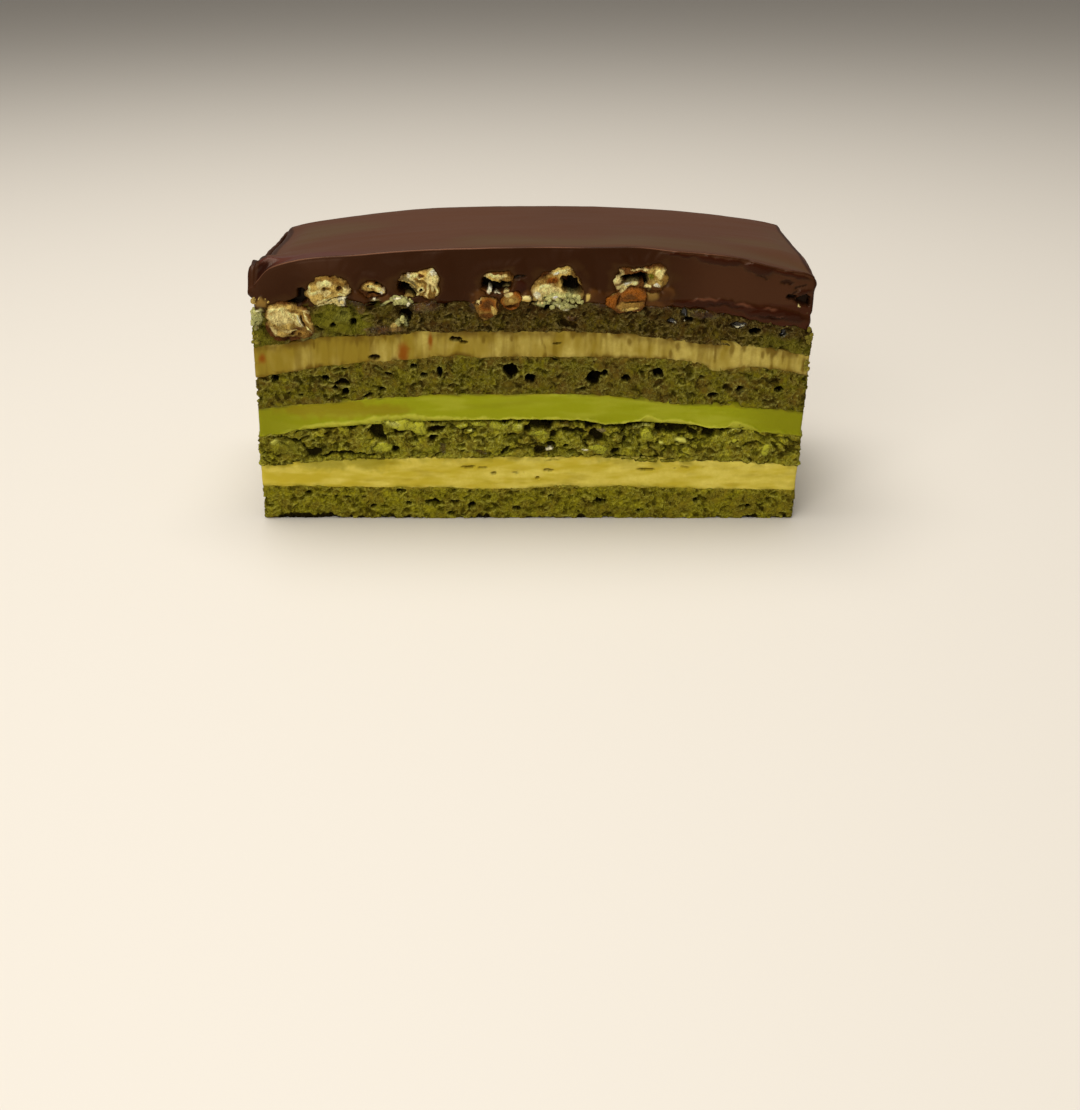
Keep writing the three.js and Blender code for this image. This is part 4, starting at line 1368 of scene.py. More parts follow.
# The strokes of each crisp's face, from its middle: kind, along, up, half length, half height, turn, out.
# The dark strokes are painted shade in hollows, and the white ones painted highlights.
CRISP_FACES = {
    "crisp_1": [
        ("toast", 0.0, 0.0, 6.0, 5.0, 0, 0.0),
        ("tan", -1.0, 1.6, 3.6, 1.6, 0, 0.2),
        ("brown", -1.6, -2.9, 2.6, 0.7, 0, -0.4),
        ("gold", 2.2, 0.2, 1.2, 2.2, 15, 0.25),
        ("tan", -1.2, -2.2, 2.2, 0.6, -4, 0.2),
        ("brown", 0.3, -2.2, 0.9, 0.35, 10, -0.3),
        ("cream", -0.7, -1.65, 1.5, 0.16, -6, 0.5),
        ("cream", -3.2, -1.2, 0.5, 1.2, 8, 0.35),
        ("tan", -1.4, 0.6, 3.0, 2.3, 0, 0.45),
        ("cream", -1.8, 1.1, 2.3, 1.6, 5, 0.6),
        ("cream", 0.8, 0.4, 0.9, 1.5, 30, 0.6),
        ("gold", 0.2, 2.1, 1.2, 0.3, -8, 0.45),
        ("white", 1.5, 0.2, 0.14, 1.3, 22, 0.65),
        ("brown", 1.9, 0.3, 0.16, 1.2, 20, 0.0),
        ("cream", 2.5, 0.8, 0.14, 1.3, 28, 0.5),
        ("cream", 2.9, 1.95, 1.1, 0.35, -12, 0.5),
        ("tan", 3.6, -1.1, 0.5, 1.2, 18, 0.3),
        ("cream", 3.0, -1.6, 0.12, 0.9, 35, 0.45),
        ("gold", 1.7, -2.2, 1.2, 0.6, 0, 0.1),
    ],
    "crisp_2": [
        ("tan", 0.0, 0.0, 6.0, 4.0, 0, 0.1),
        ("gold", -0.8, 2.1, 2.4, 0.9, 5, 0.15),
        ("cream", -1.1, 1.3, 1.3, 0.7, 8, 0.5),
        ("cream", -3.6, 0.1, 0.4, 1.1, 0, 0.5),
        ("cream", -1.6, -0.1, 1.8, 0.55, 6, 0.55),
        ("tan", -2.4, -1.2, 1.6, 0.8, 12, 0.35),
        ("gold", -0.6, 0.6, 0.8, 0.25, 14, 0.1),
        ("brown", 1.45, 0.6, 0.45, 0.45, 0, -0.5),
        ("cream", 2.9, 0.4, 0.9, 0.75, -15, 0.6),
        ("cream", 2.1, -0.5, 0.9, 0.35, -10, 0.5),
        ("dark", 3.5, -0.5, 0.25, 0.3, 0, -0.8),
        ("gold", 1.6, 1.6, 1.6, 0.5, -18, 0.1),
        ("cream", -0.9, -1.25, 1.4, 0.14, 16, 0.5),
        ("dark", 0.9, -1.6, 3.2, 0.42, 17, -1.6),
    ],
    "crisp_3": [
        ("brown", 0.0, 0.0, 3.0, 2.0, 0, 0.0),
        ("tan", -0.7, 0.5, 1.7, 0.75, -4, 0.35),
        ("cream", -0.2, 0.6, 1.1, 0.3, -6, 0.5),
        ("toast", -1.0, 0.75, 0.22, 0.22, 0, 0.0),
        ("cream", 0.9, 0.1, 0.8, 0.5, -14, 0.5),
        ("white", 0.9, -0.35, 0.35, 0.25, 0, 0.6),
        ("white", 1.4, 0.3, 0.25, 0.35, 0, 0.6),
        ("dark", 1.1, 1.1, 0.9, 0.25, -10, -0.8),
        ("dark", -0.2, -0.45, 1.1, 0.28, -4, -1.2),
        ("toast", -0.6, -1.0, 1.1, 0.3, 0, 0.1),
    ],
    "crisp_4": [
        ("tan", 0.0, 0.0, 5.0, 4.0, 0, 0.2),
        ("gold", 1.4, -1.0, 1.4, 2.0, 0, 0.2),
        ("grey", -2.6, 0.8, 1.9, 0.7, -22, 0.1),
        ("tan", -2.2, 0.2, 1.6, 0.3, -24, 0.3),
        ("brown", -3.5, 2.4, 1.0, 0.6, -10, -0.6),
        ("cream", -3.9, 1.9, 0.25, 0.6, 10, 0.3),
        ("dark", -3.4, -0.4, 1.7, 1.0, -10, -3.0),
        ("dark", -1.9, -1.2, 1.3, 0.5, -28, -2.4),
        ("grey", -1.6, -0.4, 1.2, 0.25, -32, 0.0),
        ("cream", -1.3, 1.6, 1.4, 0.75, -12, 0.5),
        ("white", -2.3, 1.9, 0.4, 0.5, 30, 0.6),
        ("gold", -0.3, 1.0, 0.9, 0.3, -20, 0.2),
        ("toast", -0.1, 1.9, 0.4, 0.35, 0, 0.0),
        ("cream", 1.6, 1.2, 1.1, 2.0, 2, 0.6),
        ("white", 1.7, 2.4, 0.7, 0.5, 0, 0.65),
        ("gold", 1.2, -0.7, 0.14, 1.3, 2, 0.3),
        ("gold", 1.9, -0.9, 0.12, 1.2, -3, 0.3),
        ("cream", 0.7, -0.9, 0.2, 1.3, 4, 0.5),
        ("cream", 2.4, -0.9, 0.2, 1.4, 3, 0.5),
        ("cream", -0.3, -0.6, 0.55, 0.6, 0, 0.5),
        ("dark", -0.3, -0.6, 0.27, 0.33, 0, -1.2),
        ("cream", -0.9, -1.6, 0.3, 0.5, -30, 0.4),
    ],
    "crisp_5": [
        ("toast", 0.0, 0.0, 4.0, 3.0, 0, 0.0),
        ("dark", 0.2, -0.1, 2.9, 1.1, -4, -3.0),
        ("cream", 0.4, 1.15, 2.1, 0.55, 0, 0.5),
        ("tan", 0.2, 0.6, 1.1, 0.4, -20, 0.4),
        ("gold", 2.1, 1.0, 1.1, 0.8, -10, 0.3),
        ("cream", 1.6, 1.2, 0.7, 0.3, 10, 0.5),
        ("grey", 2.1, -0.6, 0.9, 0.2, 16, -0.8),
        ("tan", -2.7, 0.3, 0.22, 1.0, 8, 0.3),
        ("white", -0.8, -1.1, 0.45, 0.65, 0, 0.5),
        ("white", 0.3, -1.5, 0.7, 0.3, -10, 0.5),
        ("cream", 2.2, -1.4, 0.6, 0.3, 0, 0.4),
    ],
    "crisp_6": [
        ("tan", 0.0, 0.0, 6.0, 5.0, 0, 0.1),
        ("gold", -1.8, 0.9, 1.9, 1.2, 8, 0.2),
        ("amber", -1.2, 0.9, 1.1, 0.6, 5, 0.15),
        ("brown", -2.6, 2.1, 1.3, 0.5, 24, 0.0),
        ("cream", 0.5, 2.5, 2.2, 0.4, 4, 0.5),
        ("white", -0.7, 2.3, 0.6, 0.25, 20, 0.55),
        ("tan", 2.2, 2.1, 1.0, 0.5, -35, 0.4),
        ("dark", 2.3, 0.1, 1.9, 1.5, -22, -3.2),
        ("brown", 1.2, 1.1, 0.8, 0.6, -10, -1.5),
        ("cream", -2.6, -0.6, 1.9, 1.0, 12, 0.5),
        ("cream", -1.0, -0.8, 1.5, 0.6, 0, 0.5),
        ("white", -3.6, -1.5, 0.7, 0.5, 20, 0.55),
        ("tan", 4.2, -0.3, 0.22, 2.2, 30, 0.4),
        ("cream", 5.0, -1.9, 0.6, 0.7, 20, 0.4),
        ("mint", 0.6, -2.3, 3.2, 1.2, -4, 0.3),
        ("dark", 1.7, -1.9, 0.4, 0.3, 0, -0.8),
        ("dark", 2.5, -2.5, 0.25, 0.4, 0, -0.8),
        ("white", -0.2, -2.2, 0.8, 0.3, -25, 0.5),
        ("dark", -3.2, -2.4, 1.5, 0.22, 25, -1.0),
    ],
    "crisp_7": [
        ("toast", 0.0, 0.0, 7.0, 3.0, 0, 0.0),
        ("cream", -3.9, 0.7, 1.3, 1.3, 0, 0.4),
        ("brown", -3.9, 1.0, 0.5, 0.5, 0, -0.5),
        ("dark", -0.7, 0.5, 2.5, 0.6, 3, -3.0),
        ("dark", 1.0, -0.1, 0.4, 0.8, 0, -1.6),
        ("cream", 0.1, 1.75, 1.6, 0.28, -3, 0.5),
        ("grey", -1.4, -0.2, 1.5, 0.25, 8, -0.4),
        ("cream", -2.3, -0.9, 2.2, 0.4, 15, 0.55),
        ("white", -2.0, -0.6, 0.8, 0.2, 15, 0.6),
        ("cream", -4.5, -0.4, 0.6, 0.6, 25, 0.5),
        ("tan", 3.0, 0.6, 1.8, 1.6, 0, 0.4),
        ("cream", 3.4, 1.2, 1.0, 0.8, 0, 0.55),
        ("gold", 2.2, 0.4, 0.7, 0.5, 0, 0.0),
        ("green", 1.9, 0.4, 0.5, 0.5, 0, 0.0),
        ("cream", 1.5, -1.2, 0.7, 0.6, 0, 0.5),
        ("white", 2.9, -0.9, 0.45, 0.4, -20, 0.6),
        ("gold", 4.5, 0.2, 0.7, 1.4, 0, 0.1),
        ("brown", -0.2, -1.6, 2.6, 0.5, 0, -0.1),
    ],
}


def flaky_face(inlay, strokes, flake_size, flake_height, pore_share):
    """What a piece's face looks like: its strokes, on flakes made of ridged noise at two sizes. Crests
    get a painted highlight, and painted shade darkens the valleys between them and the pores."""

    def face(across, up, share):
        stand, cover, colour, gloss = brushed(across, up, strokes, inlay.seed + 2)
        place = joined(across, up, 5.0 * inlay.seed)
        bend = 0.5 * joined(noise(place, 1.6, 931), noise(place, 1.6, 932), 0.0)
        flakes = 1 - 2.6 * np.abs(clouds((place + bend) * [1, 0.8, 1], flake_size, 910, 2))
        splinters = 1 - 2.6 * np.abs(clouds((place + bend) * [1, 0.7, 1], 0.42 * flake_size, 911, 2))
        pores = bubbles(across + bend[..., 0], up, 0.9, pore_share, 0.12, 0.4, 914 + inlay.seed)
        crest = 0.6 * flakes + 0.4 * splinters
        relief = stand + flake_height * (crest - 0.45) - 0.7 * pores
        # Painted highlight on the crests.
        light = smooth(0.25, 0.95, crest)[..., None]
        depth_share = 2.2 * min(flake_height, 0.3)
        valley_shade = depth_share * smooth(0.25, -0.7, crest)
        shadow = np.maximum(valley_shade, smooth(0.15, 0.5, pores))[..., None]
        skin = (smooth(0.74, 0.97, share) * smooth(-0.5, 0.2, noise(place, 1.5, 921)))[..., None]
        # Painted light on the crests and painted shade in the valleys and pores.
        colour = colour * (1 + 0.25 * light) * (1 - shadow * np.array([0.5, 0.62, 0.78]))
        colour = colour + (tint(96, 54, 16) - colour) * 0.75 * skin
        return relief, {"flake_colour": np.clip(colour, 0, 0.9), "gloss": gloss}

    return face


def inlaid(inlay, face, around, face_rows, suffix, material):
    """Makes one set piece, with this many points round it and this many rings over its face, hangs it
    under the root body and hides its CAD piece."""
    rings, grids = set_piece(inlay, around, face_rows, face)
    piece = ring_skin(inlay.node + suffix, in_place(rings), grids, material)
    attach(piece, "root")
    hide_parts(inlay.node)


for inlay in inlays.values():
    if inlay.node.startswith("crisp"):
        strokes = CRISP_FACES[inlay.model]
        face = flaky_face(inlay, strokes, flake_size=1.25, flake_height=0.32, pore_share=0.5)
        inlaid(inlay, face, 160, 44, "_wafer", crisp_skin)

# ----------------------------------------
# Nuts. Chopped hazelnuts boiled in sugar until they are amber and glossy. They lie under the crisps.
# ----------------------------------------

nut_skin = flaky_material("candied nut", speckles=0.25, rough=0.4)

# The strokes of each nut's face, as for the crisps.
NUT_FACES = {
    "nut_1": [
        ("gold", 0.0, 0.0, 5.0, 5.0, 0, 0.2),
        ("amber", 0.2, 0.5, 1.3, 1.2, 0, 0.3),
        ("toast", 0.3, 0.6, 0.9, 0.7, 0, 0.25),
        ("toast", 0.2, -1.5, 1.3, 0.5, 0, 0.1),
        ("cream", -1.4, 1.4, 0.5, 0.6, 30, 0.4),
        ("cream", 0.4, 2.0, 0.9, 0.2, 0, 0.4),
        ("brown", 1.8, 0.4, 0.2, 1.2, 5, -0.1),
        ("tan", 1.1, -0.6, 0.4, 0.9, 20, 0.3),
    ],
    "nut_2": [
        ("amber", 0.0, 0.0, 5.0, 4.0, 0, 0.2),
        ("gold", -1.0, 0.1, 1.4, 1.1, 0, 0.4),
        ("tan", -0.9, 0.2, 0.5, 0.4, 0, 0.5),
        ("cream", -1.5, 1.15, 0.7, 0.35, 10, 0.5),
        ("toast", 0.5, -0.6, 0.8, 0.5, 20, 0.1),
        ("brown", -0.8, -1.1, 1.2, 0.25, 0, 0.0),
    ],
    "nut_3": [
        ("toast", 0.0, 0.0, 7.0, 5.0, 0, 0.1),
        ("amber", 0.3, 1.5, 2.2, 1.2, 0, 0.4),
        ("toast", -0.4, 1.2, 1.2, 0.5, 0, 0.35),
        ("gold", -0.6, -0.5, 2.2, 0.7, 0, 0.35),
        ("tan", -0.2, -1.1, 1.6, 0.25, 4, 0.45),
        ("brown", 0.4, 0.15, 1.5, 0.1, 0, 0.0),
        ("amber", -3.7, 0.5, 1.2, 1.6, 15, 0.3),
        ("tan", -3.3, 2.0, 0.6, 0.5, 20, 0.4),
        ("brown", -2.4, 0.4, 0.14, 1.2, -10, 0.0),
        ("cream", -1.9, 2.4, 0.8, 0.25, 20, 0.5),
    ],
}

for inlay in inlays.values():
    if inlay.node.startswith("nut"):
        strokes = NUT_FACES[inlay.model]
        face = flaky_face(inlay, strokes, flake_size=3.0, flake_height=0.1, pore_share=0.05)
        inlaid(inlay, face, 112, 32, "_candied", nut_skin)

# ----------------------------------------
# Chocolate glaze. Dark chocolate melted with cream, poured over the crisps and smoothed with a palette
# knife. The hot cake knife leaves a sharp edge round its top, lips at the ends and smears on the right.
# ----------------------------------------

GLAZE_STEP = 0.22  # spacing of the mesh round the glaze
EDGE_ROWS = 7
TOP_SHARES = 1 - np.concatenate([[0.01, 0.022, 0.04, 0.06], np.linspace(0.085, 0.95, 21)])
GLAZE_HOLES = [(46.9, 41.1, 1.8, 0.85), (44.4, 41.6, 0.9, 0.35)]  # dents on the right, as spots

# What the knife left on the right of the front cut, as strokes: slicks, grooves, and painted glints.
KNIFE_MARKS = [
    ("slick", 24.6, 49.0, 3.4, 0.5, -5, 0.1),
    ("slick", 31.5, 47.9, 4.6, 0.9, -7, 0.18),
    ("slick", 38.3, 46.7, 2.9, 1.3, -10, 0.28),
    ("slick", 44.2, 45.6, 4.0, 0.7, -12, 0.16),
    ("groove", 38.9, 45.2, 1.2, 0.18, -6, -0.1),
    ("groove", 43.2, 44.1, 1.3, 0.3, -4, -0.25),
    ("groove", 46.0, 43.4, 1.6, 0.3, 12, -0.25),
    ("groove", 44.4, 42.3, 1.0, 0.25, 24, -0.2),
    ("slick", 46.6, 42.3, 1.6, 0.4, 5, 0.2),
    ("slick", 30.0, 40.6, 7.5, 0.8, -1, 0.12),
    ("slick", 41.0, 38.8, 7.5, 1.1, -10, 0.14),
    ("glint", 29.6, 41.2, 2.2, 0.24, 1, 0.3),
    ("glint", 36.5, 40.3, 1.3, 0.24, -14, 0.35),
    ("glint", 40.9, 39.5, 1.0, 0.22, -8, 0.35),
    ("glint", 42.5, 38.1, 0.6, 0.16, -8, 0.3),
    # Two painted glints in cream colour.
    ("cream", 45.8, 40.1, 0.5, 0.1, -24, 0.1),
    ("cream", 47.9, 38.9, 0.25, 0.12, 0, 0.3),
    ("groove", 33.0, 40.2, 3.0, 0.14, -3, -0.1),
    ("groove", 41.5, 38.1, 2.6, 0.14, -10, -0.1),
]

glaze_wall = Wall(GLAZE, GLAZE_STEP, rows=42)
gx, gy, gz = glaze_wall.x, glaze_wall.y, glaze_wall.z
at_end = smooth(0.6, 0.9, np.abs(glaze_wall.out[..., 0]))
at_left = smooth(0.6, 0.9, -glaze_wall.out[..., 0])
glaze_share = glaze_wall.rise / (glaze_wall.rise + glaze_wall.drop)
level_way = glaze_wall.points * [1, 1, 0]
bow = np.sin(np.pi * glaze_share) * (0.15 + 0.1 * at_end)
waves = 0.16 * clouds(glaze_wall.points, 10, 1001, 2)
waves = waves + 0.06 * clouds(glaze_wall.points * [1, 1, 0.5], 2.6, 1002, 2)
lip_height = 1.3 + 0.4 * clouds(level_way, 7, 1003)
lips = (0.4 + 0.5 * at_left) * bell(glaze_wall.drop, lip_height, 0.9) * at_end
groove = 0.6 * bell(glaze_wall.drop - lip_height, 1.7, 0.5) * at_left
band_top = 41.3 - 0.05 * (gx - 23) + 0.3 * clouds(level_way, 4, 1004)
smear = smooth(0.25, -0.25, gz - band_top) * smooth(20.0, 25.0, gx)
far_smear = smooth(0.1, 0.3, clouds(level_way, 14, 1005)) * smooth(3.4, 2.6, glaze_wall.rise)
smear = np.where(glaze_wall.front > 0.5, smear, far_smear)
ridges = clouds(glaze_wall.points * [0.3, 0.3, 1.1], 1.1, 1006)
glaze_pocket, glaze_near = pockets(glaze_wall, deep=5.0)
glaze_stand, glaze_patches = among_crisps(glaze_wall, glaze_near, seed=1050, mint=0)
glaze_holes = spots(glaze_wall, GLAZE_HOLES)
slick_stand, slick_cover, slick_colour, slick_gloss = brushed(gx, gz, KNIFE_MARKS, seed=3)
slick_cover = slick_cover * glaze_wall.front
slick_gloss = slick_gloss * glaze_wall.front
flow = 0.25 * smooth(2.2, 1.2, glaze_near) * smooth(0.95, 1.1, glaze_near)
glaze_relief = bow + waves + lips - groove + flow - smear * (0.1 - 0.28 * ridges) - 1.4 * glaze_holes
glaze_relief = glaze_relief + glaze_stand - glaze_pocket - 0.2 * smooth(0.3, 0, glaze_wall.rise)
glaze_relief = glaze_relief + slick_stand * slick_cover
slick_share = (slick_cover * (1 - glaze_patches["patch"]))[..., None]
glaze_patches["patch_colour"] += (slick_colour - glaze_patches["patch_colour"]) * slick_share
glaze_patches["patch"] = np.maximum(glaze_patches["patch"], 0.85 * slick_cover)
glaze_patches["gloss"] = np.maximum(glaze_patches["gloss"], slick_gloss)
fold_rise = 0.9 * clouds(level_way, 5.0, 1007, 2) + 0.4 + 0.2 * smooth(-9, -14, gy)
folds = at_left * fold_rise * bell(glaze_wall.drop, 1.0, 1.2)
folds = folds * (0.2 + 0.8 * smooth(21.0, 18.8, np.abs(gy)))
glaze_relief = glaze_relief + folds - 0.45 * at_left * smooth(2.4, 4.2, glaze_wall.drop)
glaze_face = glaze_wall.points + glaze_wall.out * glaze_relief[..., None]
glaze_face[..., 0] -= 0.7 * np.sign(gx) * smooth(HALF_WIDTH - 4, HALF_WIDTH, np.abs(gx))

# The edge rolls over from the wall to the top in a quarter circle, tight at the knife-cut front and back
# and wider at the ends.
edge_radius = 0.3 + (0.5 * at_end[-1] + 0.7 * at_left[-1]) * smooth(20.5, 14, np.abs(gy[-1]))
roll = np.linspace(0, np.pi / 2, EDGE_ROWS)[1:, None]
edge_in = edge_radius * (1 - np.cos(roll))
edge_rings = glaze_face[-1] - edge_in[..., None] * glaze_wall.out[-1]
edge_rings[..., 2] += edge_radius * np.sin(roll) - edge_radius


def top_level(x, y):
    """Height of the glaze's upper level with its front bends."""
    return height(TOP, x, y) + bent(TOP, x, y)


def top_height(x, y):
    """Height of the glaze's top: its level, with slow swells and faint ridges left by the palette
    knife, which was drawn along the slice."""
    flat = joined(x, y, 300.0)
    swells = 0.25 * clouds(flat, 17, 1010, 2) + 0.04 * clouds(flat, 4, 1011, 2)
    knife = 0.05 * clouds(flat * [0.12, 1, 1], 2.4, 1012, 2)
    return top_level(x, y) + swells + knife


inner = edge_rings[-1]
blend = smooth(0.0, 0.1, 1 - TOP_SHARES[:, None])
plain = 0.98 * glaze_wall.plan
top_x, top_y = (
    (inner[:, k] * (1 - blend) + plain[:, k] * blend) * TOP_SHARES[:, None] for k in range(2)
)
edge_z = inner[:, 2] + top_level(top_x, top_y) - top_level(*inner[:, :2].T)
glaze_top = joined(top_x, top_y, edge_z * (1 - blend) + top_height(top_x, top_y) * blend)
glaze_face[..., 2] -= smooth(0.8, 0.0, glaze_wall.drop) * edge_radius
glaze_under = cap_rings(glaze_face[0], GLAZE, -LAP)[::-1]
glaze_rings = np.concatenate([glaze_under, glaze_face, edge_rings, glaze_top])
# Painted reflection: the front is lighter on its right, and lighter in patches towards both ends.
right_reflection = smooth(17, 34, gx) * glaze_wall.front
tone = smooth(-0.4, 0.7, clouds(glaze_wall.points, 9, 1020, 2)) * smooth(20, 40, np.abs(gx + 2))
glaze_grids = {
    "smear": smear,
    "tone": np.maximum(0.7 * tone, right_reflection),
    # Painted shade in the dents and in the gap round each piece.
    "dark": np.maximum(glaze_holes, 0.85 * smooth(0.94, 0.86, glaze_near)),
    **glaze_patches,
    "top": np.zeros(gx.shape),
    "edge": np.zeros(gx.shape),
}
glaze_grids = padded(glaze_grids, (len(glaze_under), len(edge_rings) + len(glaze_top)))

# On the top, a painted sheen lightens the colour away from the left end. Along the left of the front
# lie painted shade on the lip and a band of painted reddish reflection, and the rest has patches of
# painted olive reflection.
ON_TOP = slice(-len(TOP_SHARES), None)
off_left = smooth(-48.6, -46.8, top_x + 0.7 * clouds(glaze_top, 3.0, 1031, 2))
top_light = 0.65 + 0.2 * clouds(glaze_top * [0.6, 1, 1], 15, 1032, 2)
left_lip_shade = smooth(-43.5, -45.5, top_x) * smooth(-17.9, -18.8, top_y)
red_reflection = 0.85 * smooth(-13, -17, top_y + 0.15 * (top_x + 42)) * smooth(-24, -35, top_x)
olive_reflection = smooth(0.0, 0.55, clouds(glaze_top * [0.45, 1, 1], 12, 1033, 2) + 0.1)
olive_reflection = 0.6 * olive_reflection * smooth(-46, -42, top_x) * (1 - red_reflection) * smooth(-20.5, -18, top_y)
olive_reflection_wins = (olive_reflection > np.maximum(left_lip_shade, red_reflection))[..., None]
reddish_reflection = tint(72, 28, 17)
top_shade_and_reflection = reddish_reflection + (tint(34, 10, 3) - reddish_reflection) * left_lip_shade[..., None]
# Painted sheen on the top.
glaze_grids["top"][ON_TOP] = 0.25 + off_left * top_light
glaze_grids["patch"][ON_TOP] = np.maximum.reduce([left_lip_shade, red_reflection, olive_reflection])
glaze_grids["patch_colour"][ON_TOP] = np.where(olive_reflection_wins, tint(74, 54, 26), top_shade_and_reflection)
glaze_grids["gloss"][ON_TOP] = np.maximum(0.9 * left_lip_shade, 0.3 * red_reflection)

# A painted highlight runs along three rings of the rolled edge, broken up by noise, weaker on the right
# and stronger on the left of the front, and left off the left end.
ON_HIGHLIGHT = slice(-len(TOP_SHARES) - 5, -len(TOP_SHARES) - 2)
highlight_ring = edge_rings[2]
highlight_strength = clouds(highlight_ring * [0.3, 1, 1], 3.0, 1030, 2)
highlight_strength = highlight_strength - 0.2 * smooth(10, 20, highlight_ring[:, 0]) + 0.6 * smooth(-34, -44, highlight_ring[:, 0])
glaze_grids["edge"][ON_HIGHLIGHT] = smooth(-0.5, 0.5, highlight_strength) * (1 - at_left[-1])


def glaze_material():
    """Dark chocolate, satin where it set and glossier and redder where the knife smeared it, with a
    painted sheen on its top, a painted highlight along its edge and painted shade in its dents and gaps.
    """
    material, tree, shader = new_material("chocolate glaze")
    speckle = grain(tree, per_metre=260, contrast=1.6)
    coats = [
        # Painted sheen on the top.
        ("top", 0, 1, (76, 42, 20)),
        # Painted highlight along the edge.
        ("edge", 0, 0.8, (112, 72, 50)),
        ("smear", 0, 0.85, (58, 23, 8)),
        # Painted shade in the dents and round the pieces.
        ("dark", 0, 1, (24, 10, 4)),
    ]
    colour = mixed(tree, attribute(tree, "tone"), paint(45, 18, 1), paint(68, 38, 20))
    colour = coated(tree, colour, coats)
    patch_colour = attribute(tree, "patch_colour", "Color")
    colour = mixed(tree, attribute(tree, "patch"), colour, patch_colour)
    shine = sum_of(tree, "MAXIMUM", attribute(tree, "smear"), attribute(tree, "gloss"))
    normal = bump(tree, speckle["Height"], distance=0.12, strength=0.25)
    rough = scaled(tree, shine, 0.42, 0.17)
    dress(tree, shader, colour, rough, normal, level=0.14, warmth=(1.0, 0.75, 0.55))
    return material


glaze = ring_skin("chocolate_glaze_set", in_place(glaze_rings), glaze_grids, glaze_material())
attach(glaze, "root")
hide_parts("chocolate_glaze")

# ----------------------------------------
# Crumbs. Curds of pale green cream lie among the crisps, and a few crumbs of sponge hang on at the ends.
# They cling to the cut faces by their own wetness.
# ----------------------------------------

# Heaps of curds among the front crisps and at the ends: middle along, height, half width, half height,
# how many, and their kind.
CURDS = [
    (4.9, 41.0, 3.6, 1.2, 50, "mint"),
    (1.6, 41.2, 1.3, 0.7, 10, "cream"),
    (-22.8, 41.1, 2.0, 0.7, 26, "mint"),
    (-35.0, 40.8, 2.6, 0.3, 18, "cream"),
    (-22.8, 37.4, 1.0, 0.8, 8, "mint"),
    (-47.9, 37.9, 0.8, 1.8, 16, "mint"),
    (-47.0, 40.9, 1.5, 0.7, 16, "tan"),
    (-48.0, 34.6, 0.6, 1.4, 12, "crumb"),
    (-9.6, 40.6, 0.8, 1.0, 9, "toast"),
    (16.8, 39.5, 1.6, 0.2, 7, "tan"),
    (48.2, 29.4, 0.4, 0.9, 12, "crumb"),
    (48.0, 34.6, 0.5, 1.4, 12, "crumb"),
]
CRUMB_AROUND, CRUMB_RINGS = 9, 5


def clinging(middles, sizes, seed):
    """Rounded crumbs at these middles. Each is a small ball as a grid of rings by places round them,
    swollen and dented by noise, and flattened against the front cut."""
    down = np.linspace(0, np.pi, CRUMB_RINGS + 2)[1:-1, None]
    about = np.arange(CRUMB_AROUND) * 2 * np.pi / CRUMB_AROUND
    rings = joined(np.sin(down) * np.cos(about), np.sin(down) * np.sin(about), np.cos(down))
    ball = np.concatenate([[[0, 0, 1.0]], rings.reshape(-1, 3), [[0, 0, -1.0]]])
    apart = 7.3 * np.arange(len(middles))[:, None, None]
    swell = 1 + 0.45 * noise(ball * 1.4 + apart, 1.0, seed)
    body = ball * swell[..., None] * sizes[:, None, None]
    return middles[:, None] + body * [1, 0.7, 1]


def ball_faces():
    """The faces of one crumb's ball: fans at its two ends and four-sided faces between its rings."""
    here = np.arange(CRUMB_AROUND)
    after = (here + 1) % CRUMB_AROUND
    last = 1 + (CRUMB_RINGS - 1) * CRUMB_AROUND
    end = 1 + CRUMB_RINGS * CRUMB_AROUND
    faces = [(0, 1 + a, 1 + b) for a, b in zip(here, after)]
    for start in range(1, last, CRUMB_AROUND):
        below = start + CRUMB_AROUND
        faces += [(start + a, below + a, below + b, start + b) for a, b in zip(here, after)]
    return faces + [(end, last + b, last + a) for a, b in zip(here, after)]


crumb_middles, crumb_sizes, crumb_shades = [], [], []
random = np.random.default_rng(77)
for along, up, half_width, half_height, count, kind in CURDS:
    turn = random.random(count) * 2 * np.pi
    spread = np.sqrt(random.random(count))
    x = along + half_width * spread * np.cos(turn)
    z = up + half_height * spread * np.sin(turn)
    crumb_sizes.append(0.2 + 0.28 * random.random(count))
    crumb_middles.append(joined(x, -HALF_DEPTH - 0.1 - 0.3 * random.random(count), z))
    crumb_shades.append(tint(*KINDS[kind][0]) * (0.65 + 0.6 * random.random((count, 1))))
crumb_bodies = clinging(np.concatenate(crumb_middles), np.concatenate(crumb_sizes), 960)
crumb_count, per_crumb = crumb_bodies.shape[:2]
one_crumb = ball_faces()
crumb_faces = [
    tuple(start + corner for corner in face)
    for start in range(0, crumb_count * per_crumb, per_crumb)
    for face in one_crumb
]
crumb_mesh = bpy.data.meshes.new("loose_crumbs")
crumb_mesh.from_pydata((in_place(crumb_bodies.reshape(-1, 3)) * MM).tolist(), [], crumb_faces)
crumb_mesh.shade_smooth()
dyed(crumb_mesh, "flake_colour", np.concatenate(crumb_shades).repeat(per_crumb, 0))
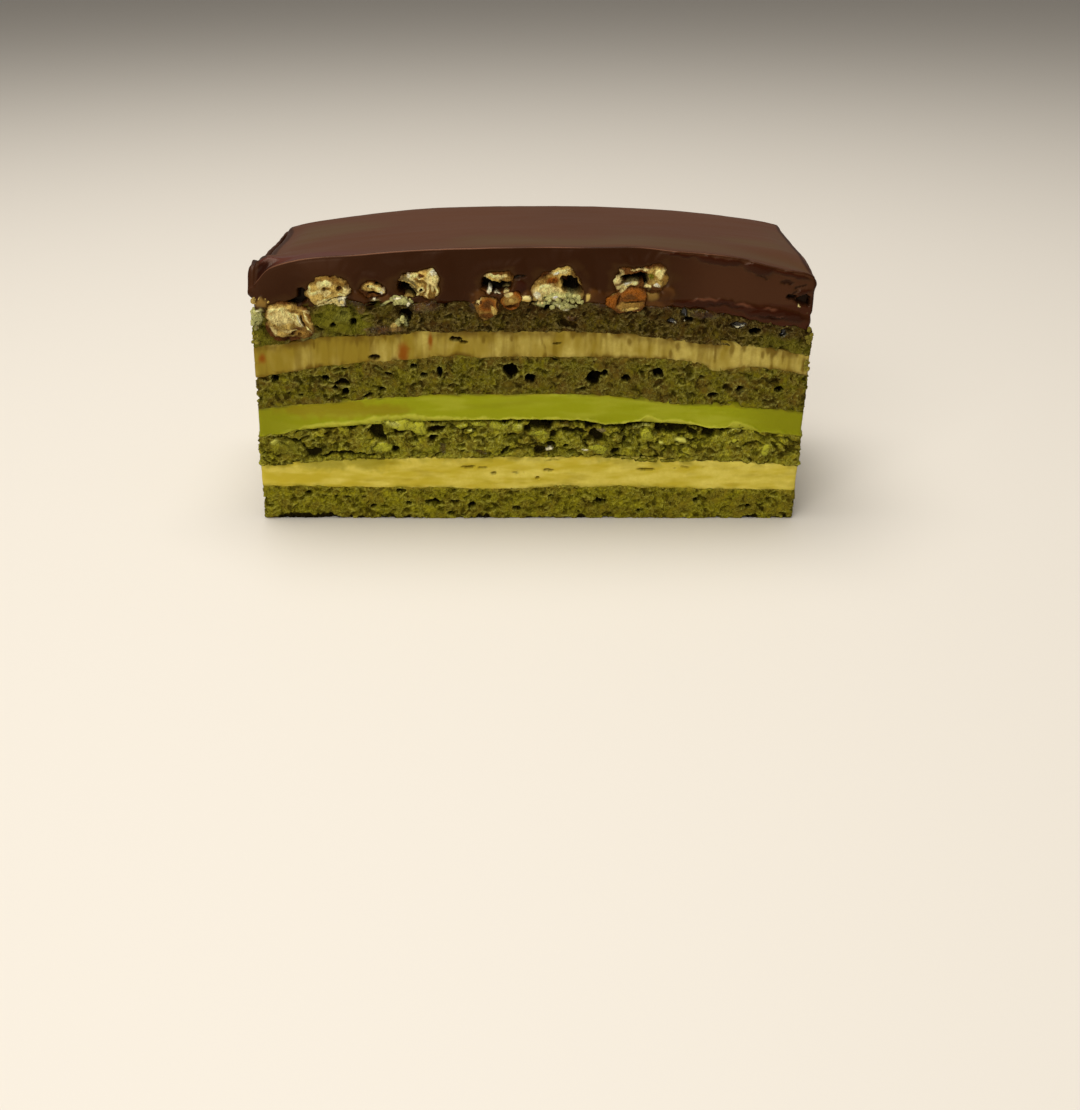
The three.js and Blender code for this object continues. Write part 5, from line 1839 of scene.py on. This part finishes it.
loose_crumbs = set_down(crumb_mesh, crisp_skin)
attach(loose_crumbs, "root")

# ----------------------------------------
# The table and the studio: a plain pale table top, soft light from above and in front, and a camera a
# little above the slice that looks down on it.
# ----------------------------------------

TABLE_HALF = 1500.0
table_mesh = bpy.data.meshes.new("table_top")
table_corners = np.array([[-1, -1, 0], [1, -1, 0], [1, 1, 0], [-1, 1, 0]]) * TABLE_HALF * MM
table_mesh.from_pydata(table_corners.tolist(), [], [(0, 1, 2, 3)])
table_material, _, table_shader = new_material("pale table")
table_shader["Base Color"].default_value = paint(214, 208, 198)
table_shader["Roughness"].default_value = 0.6
set_down(table_mesh, table_material)

world = bpy.data.worlds.new("studio")
bpy.context.scene.world = world
world.use_nodes = True
sky = world.node_tree.nodes["Background"].inputs
sky["Color"].default_value = paint(236, 230, 222)
sky["Strength"].default_value = 0.26
bpy.context.scene.view_settings.view_transform = "Standard"


def soft_light(name, place, size, power):
    """A square soft box at a place in millimetres, aimed at the middle of the slice."""
    light = bpy.data.lights.new(name, "AREA")
    light.size = size * MM
    light.energy = power
    light.color = (1.0, 0.97, 0.92)
    lamp = bpy.data.objects.new(name, light)
    lamp.location = Vector(place) * MM
    aim = Vector((0, 0, 25)) * MM - lamp.location
    lamp.rotation_euler = aim.to_track_quat("-Z", "Y").to_euler()
    bpy.context.scene.collection.objects.link(lamp)


soft_light("overhead", place=(-80, 60, 620), size=500, power=4.6)
soft_light("front", place=(-260, -620, 420), size=420, power=2.7)

CAMERA_PLACE = (MIDDLE_X + 2.15, MIDDLE_Y - 257, 107)
PITCH = np.radians(25.9)
camera_data = bpy.data.cameras.new("camera")
camera_data.sensor_width = 36
camera_data.sensor_fit = "HORIZONTAL"
camera_data.lens = 46.8
camera_data.clip_start = 0.01
camera = bpy.data.objects.new("camera", camera_data)
camera.location = Vector(CAMERA_PLACE) * MM
camera.rotation_euler = (np.pi / 2 - PITCH, 0, 0)
bpy.context.scene.collection.objects.link(camera)
bpy.context.scene.camera = camera
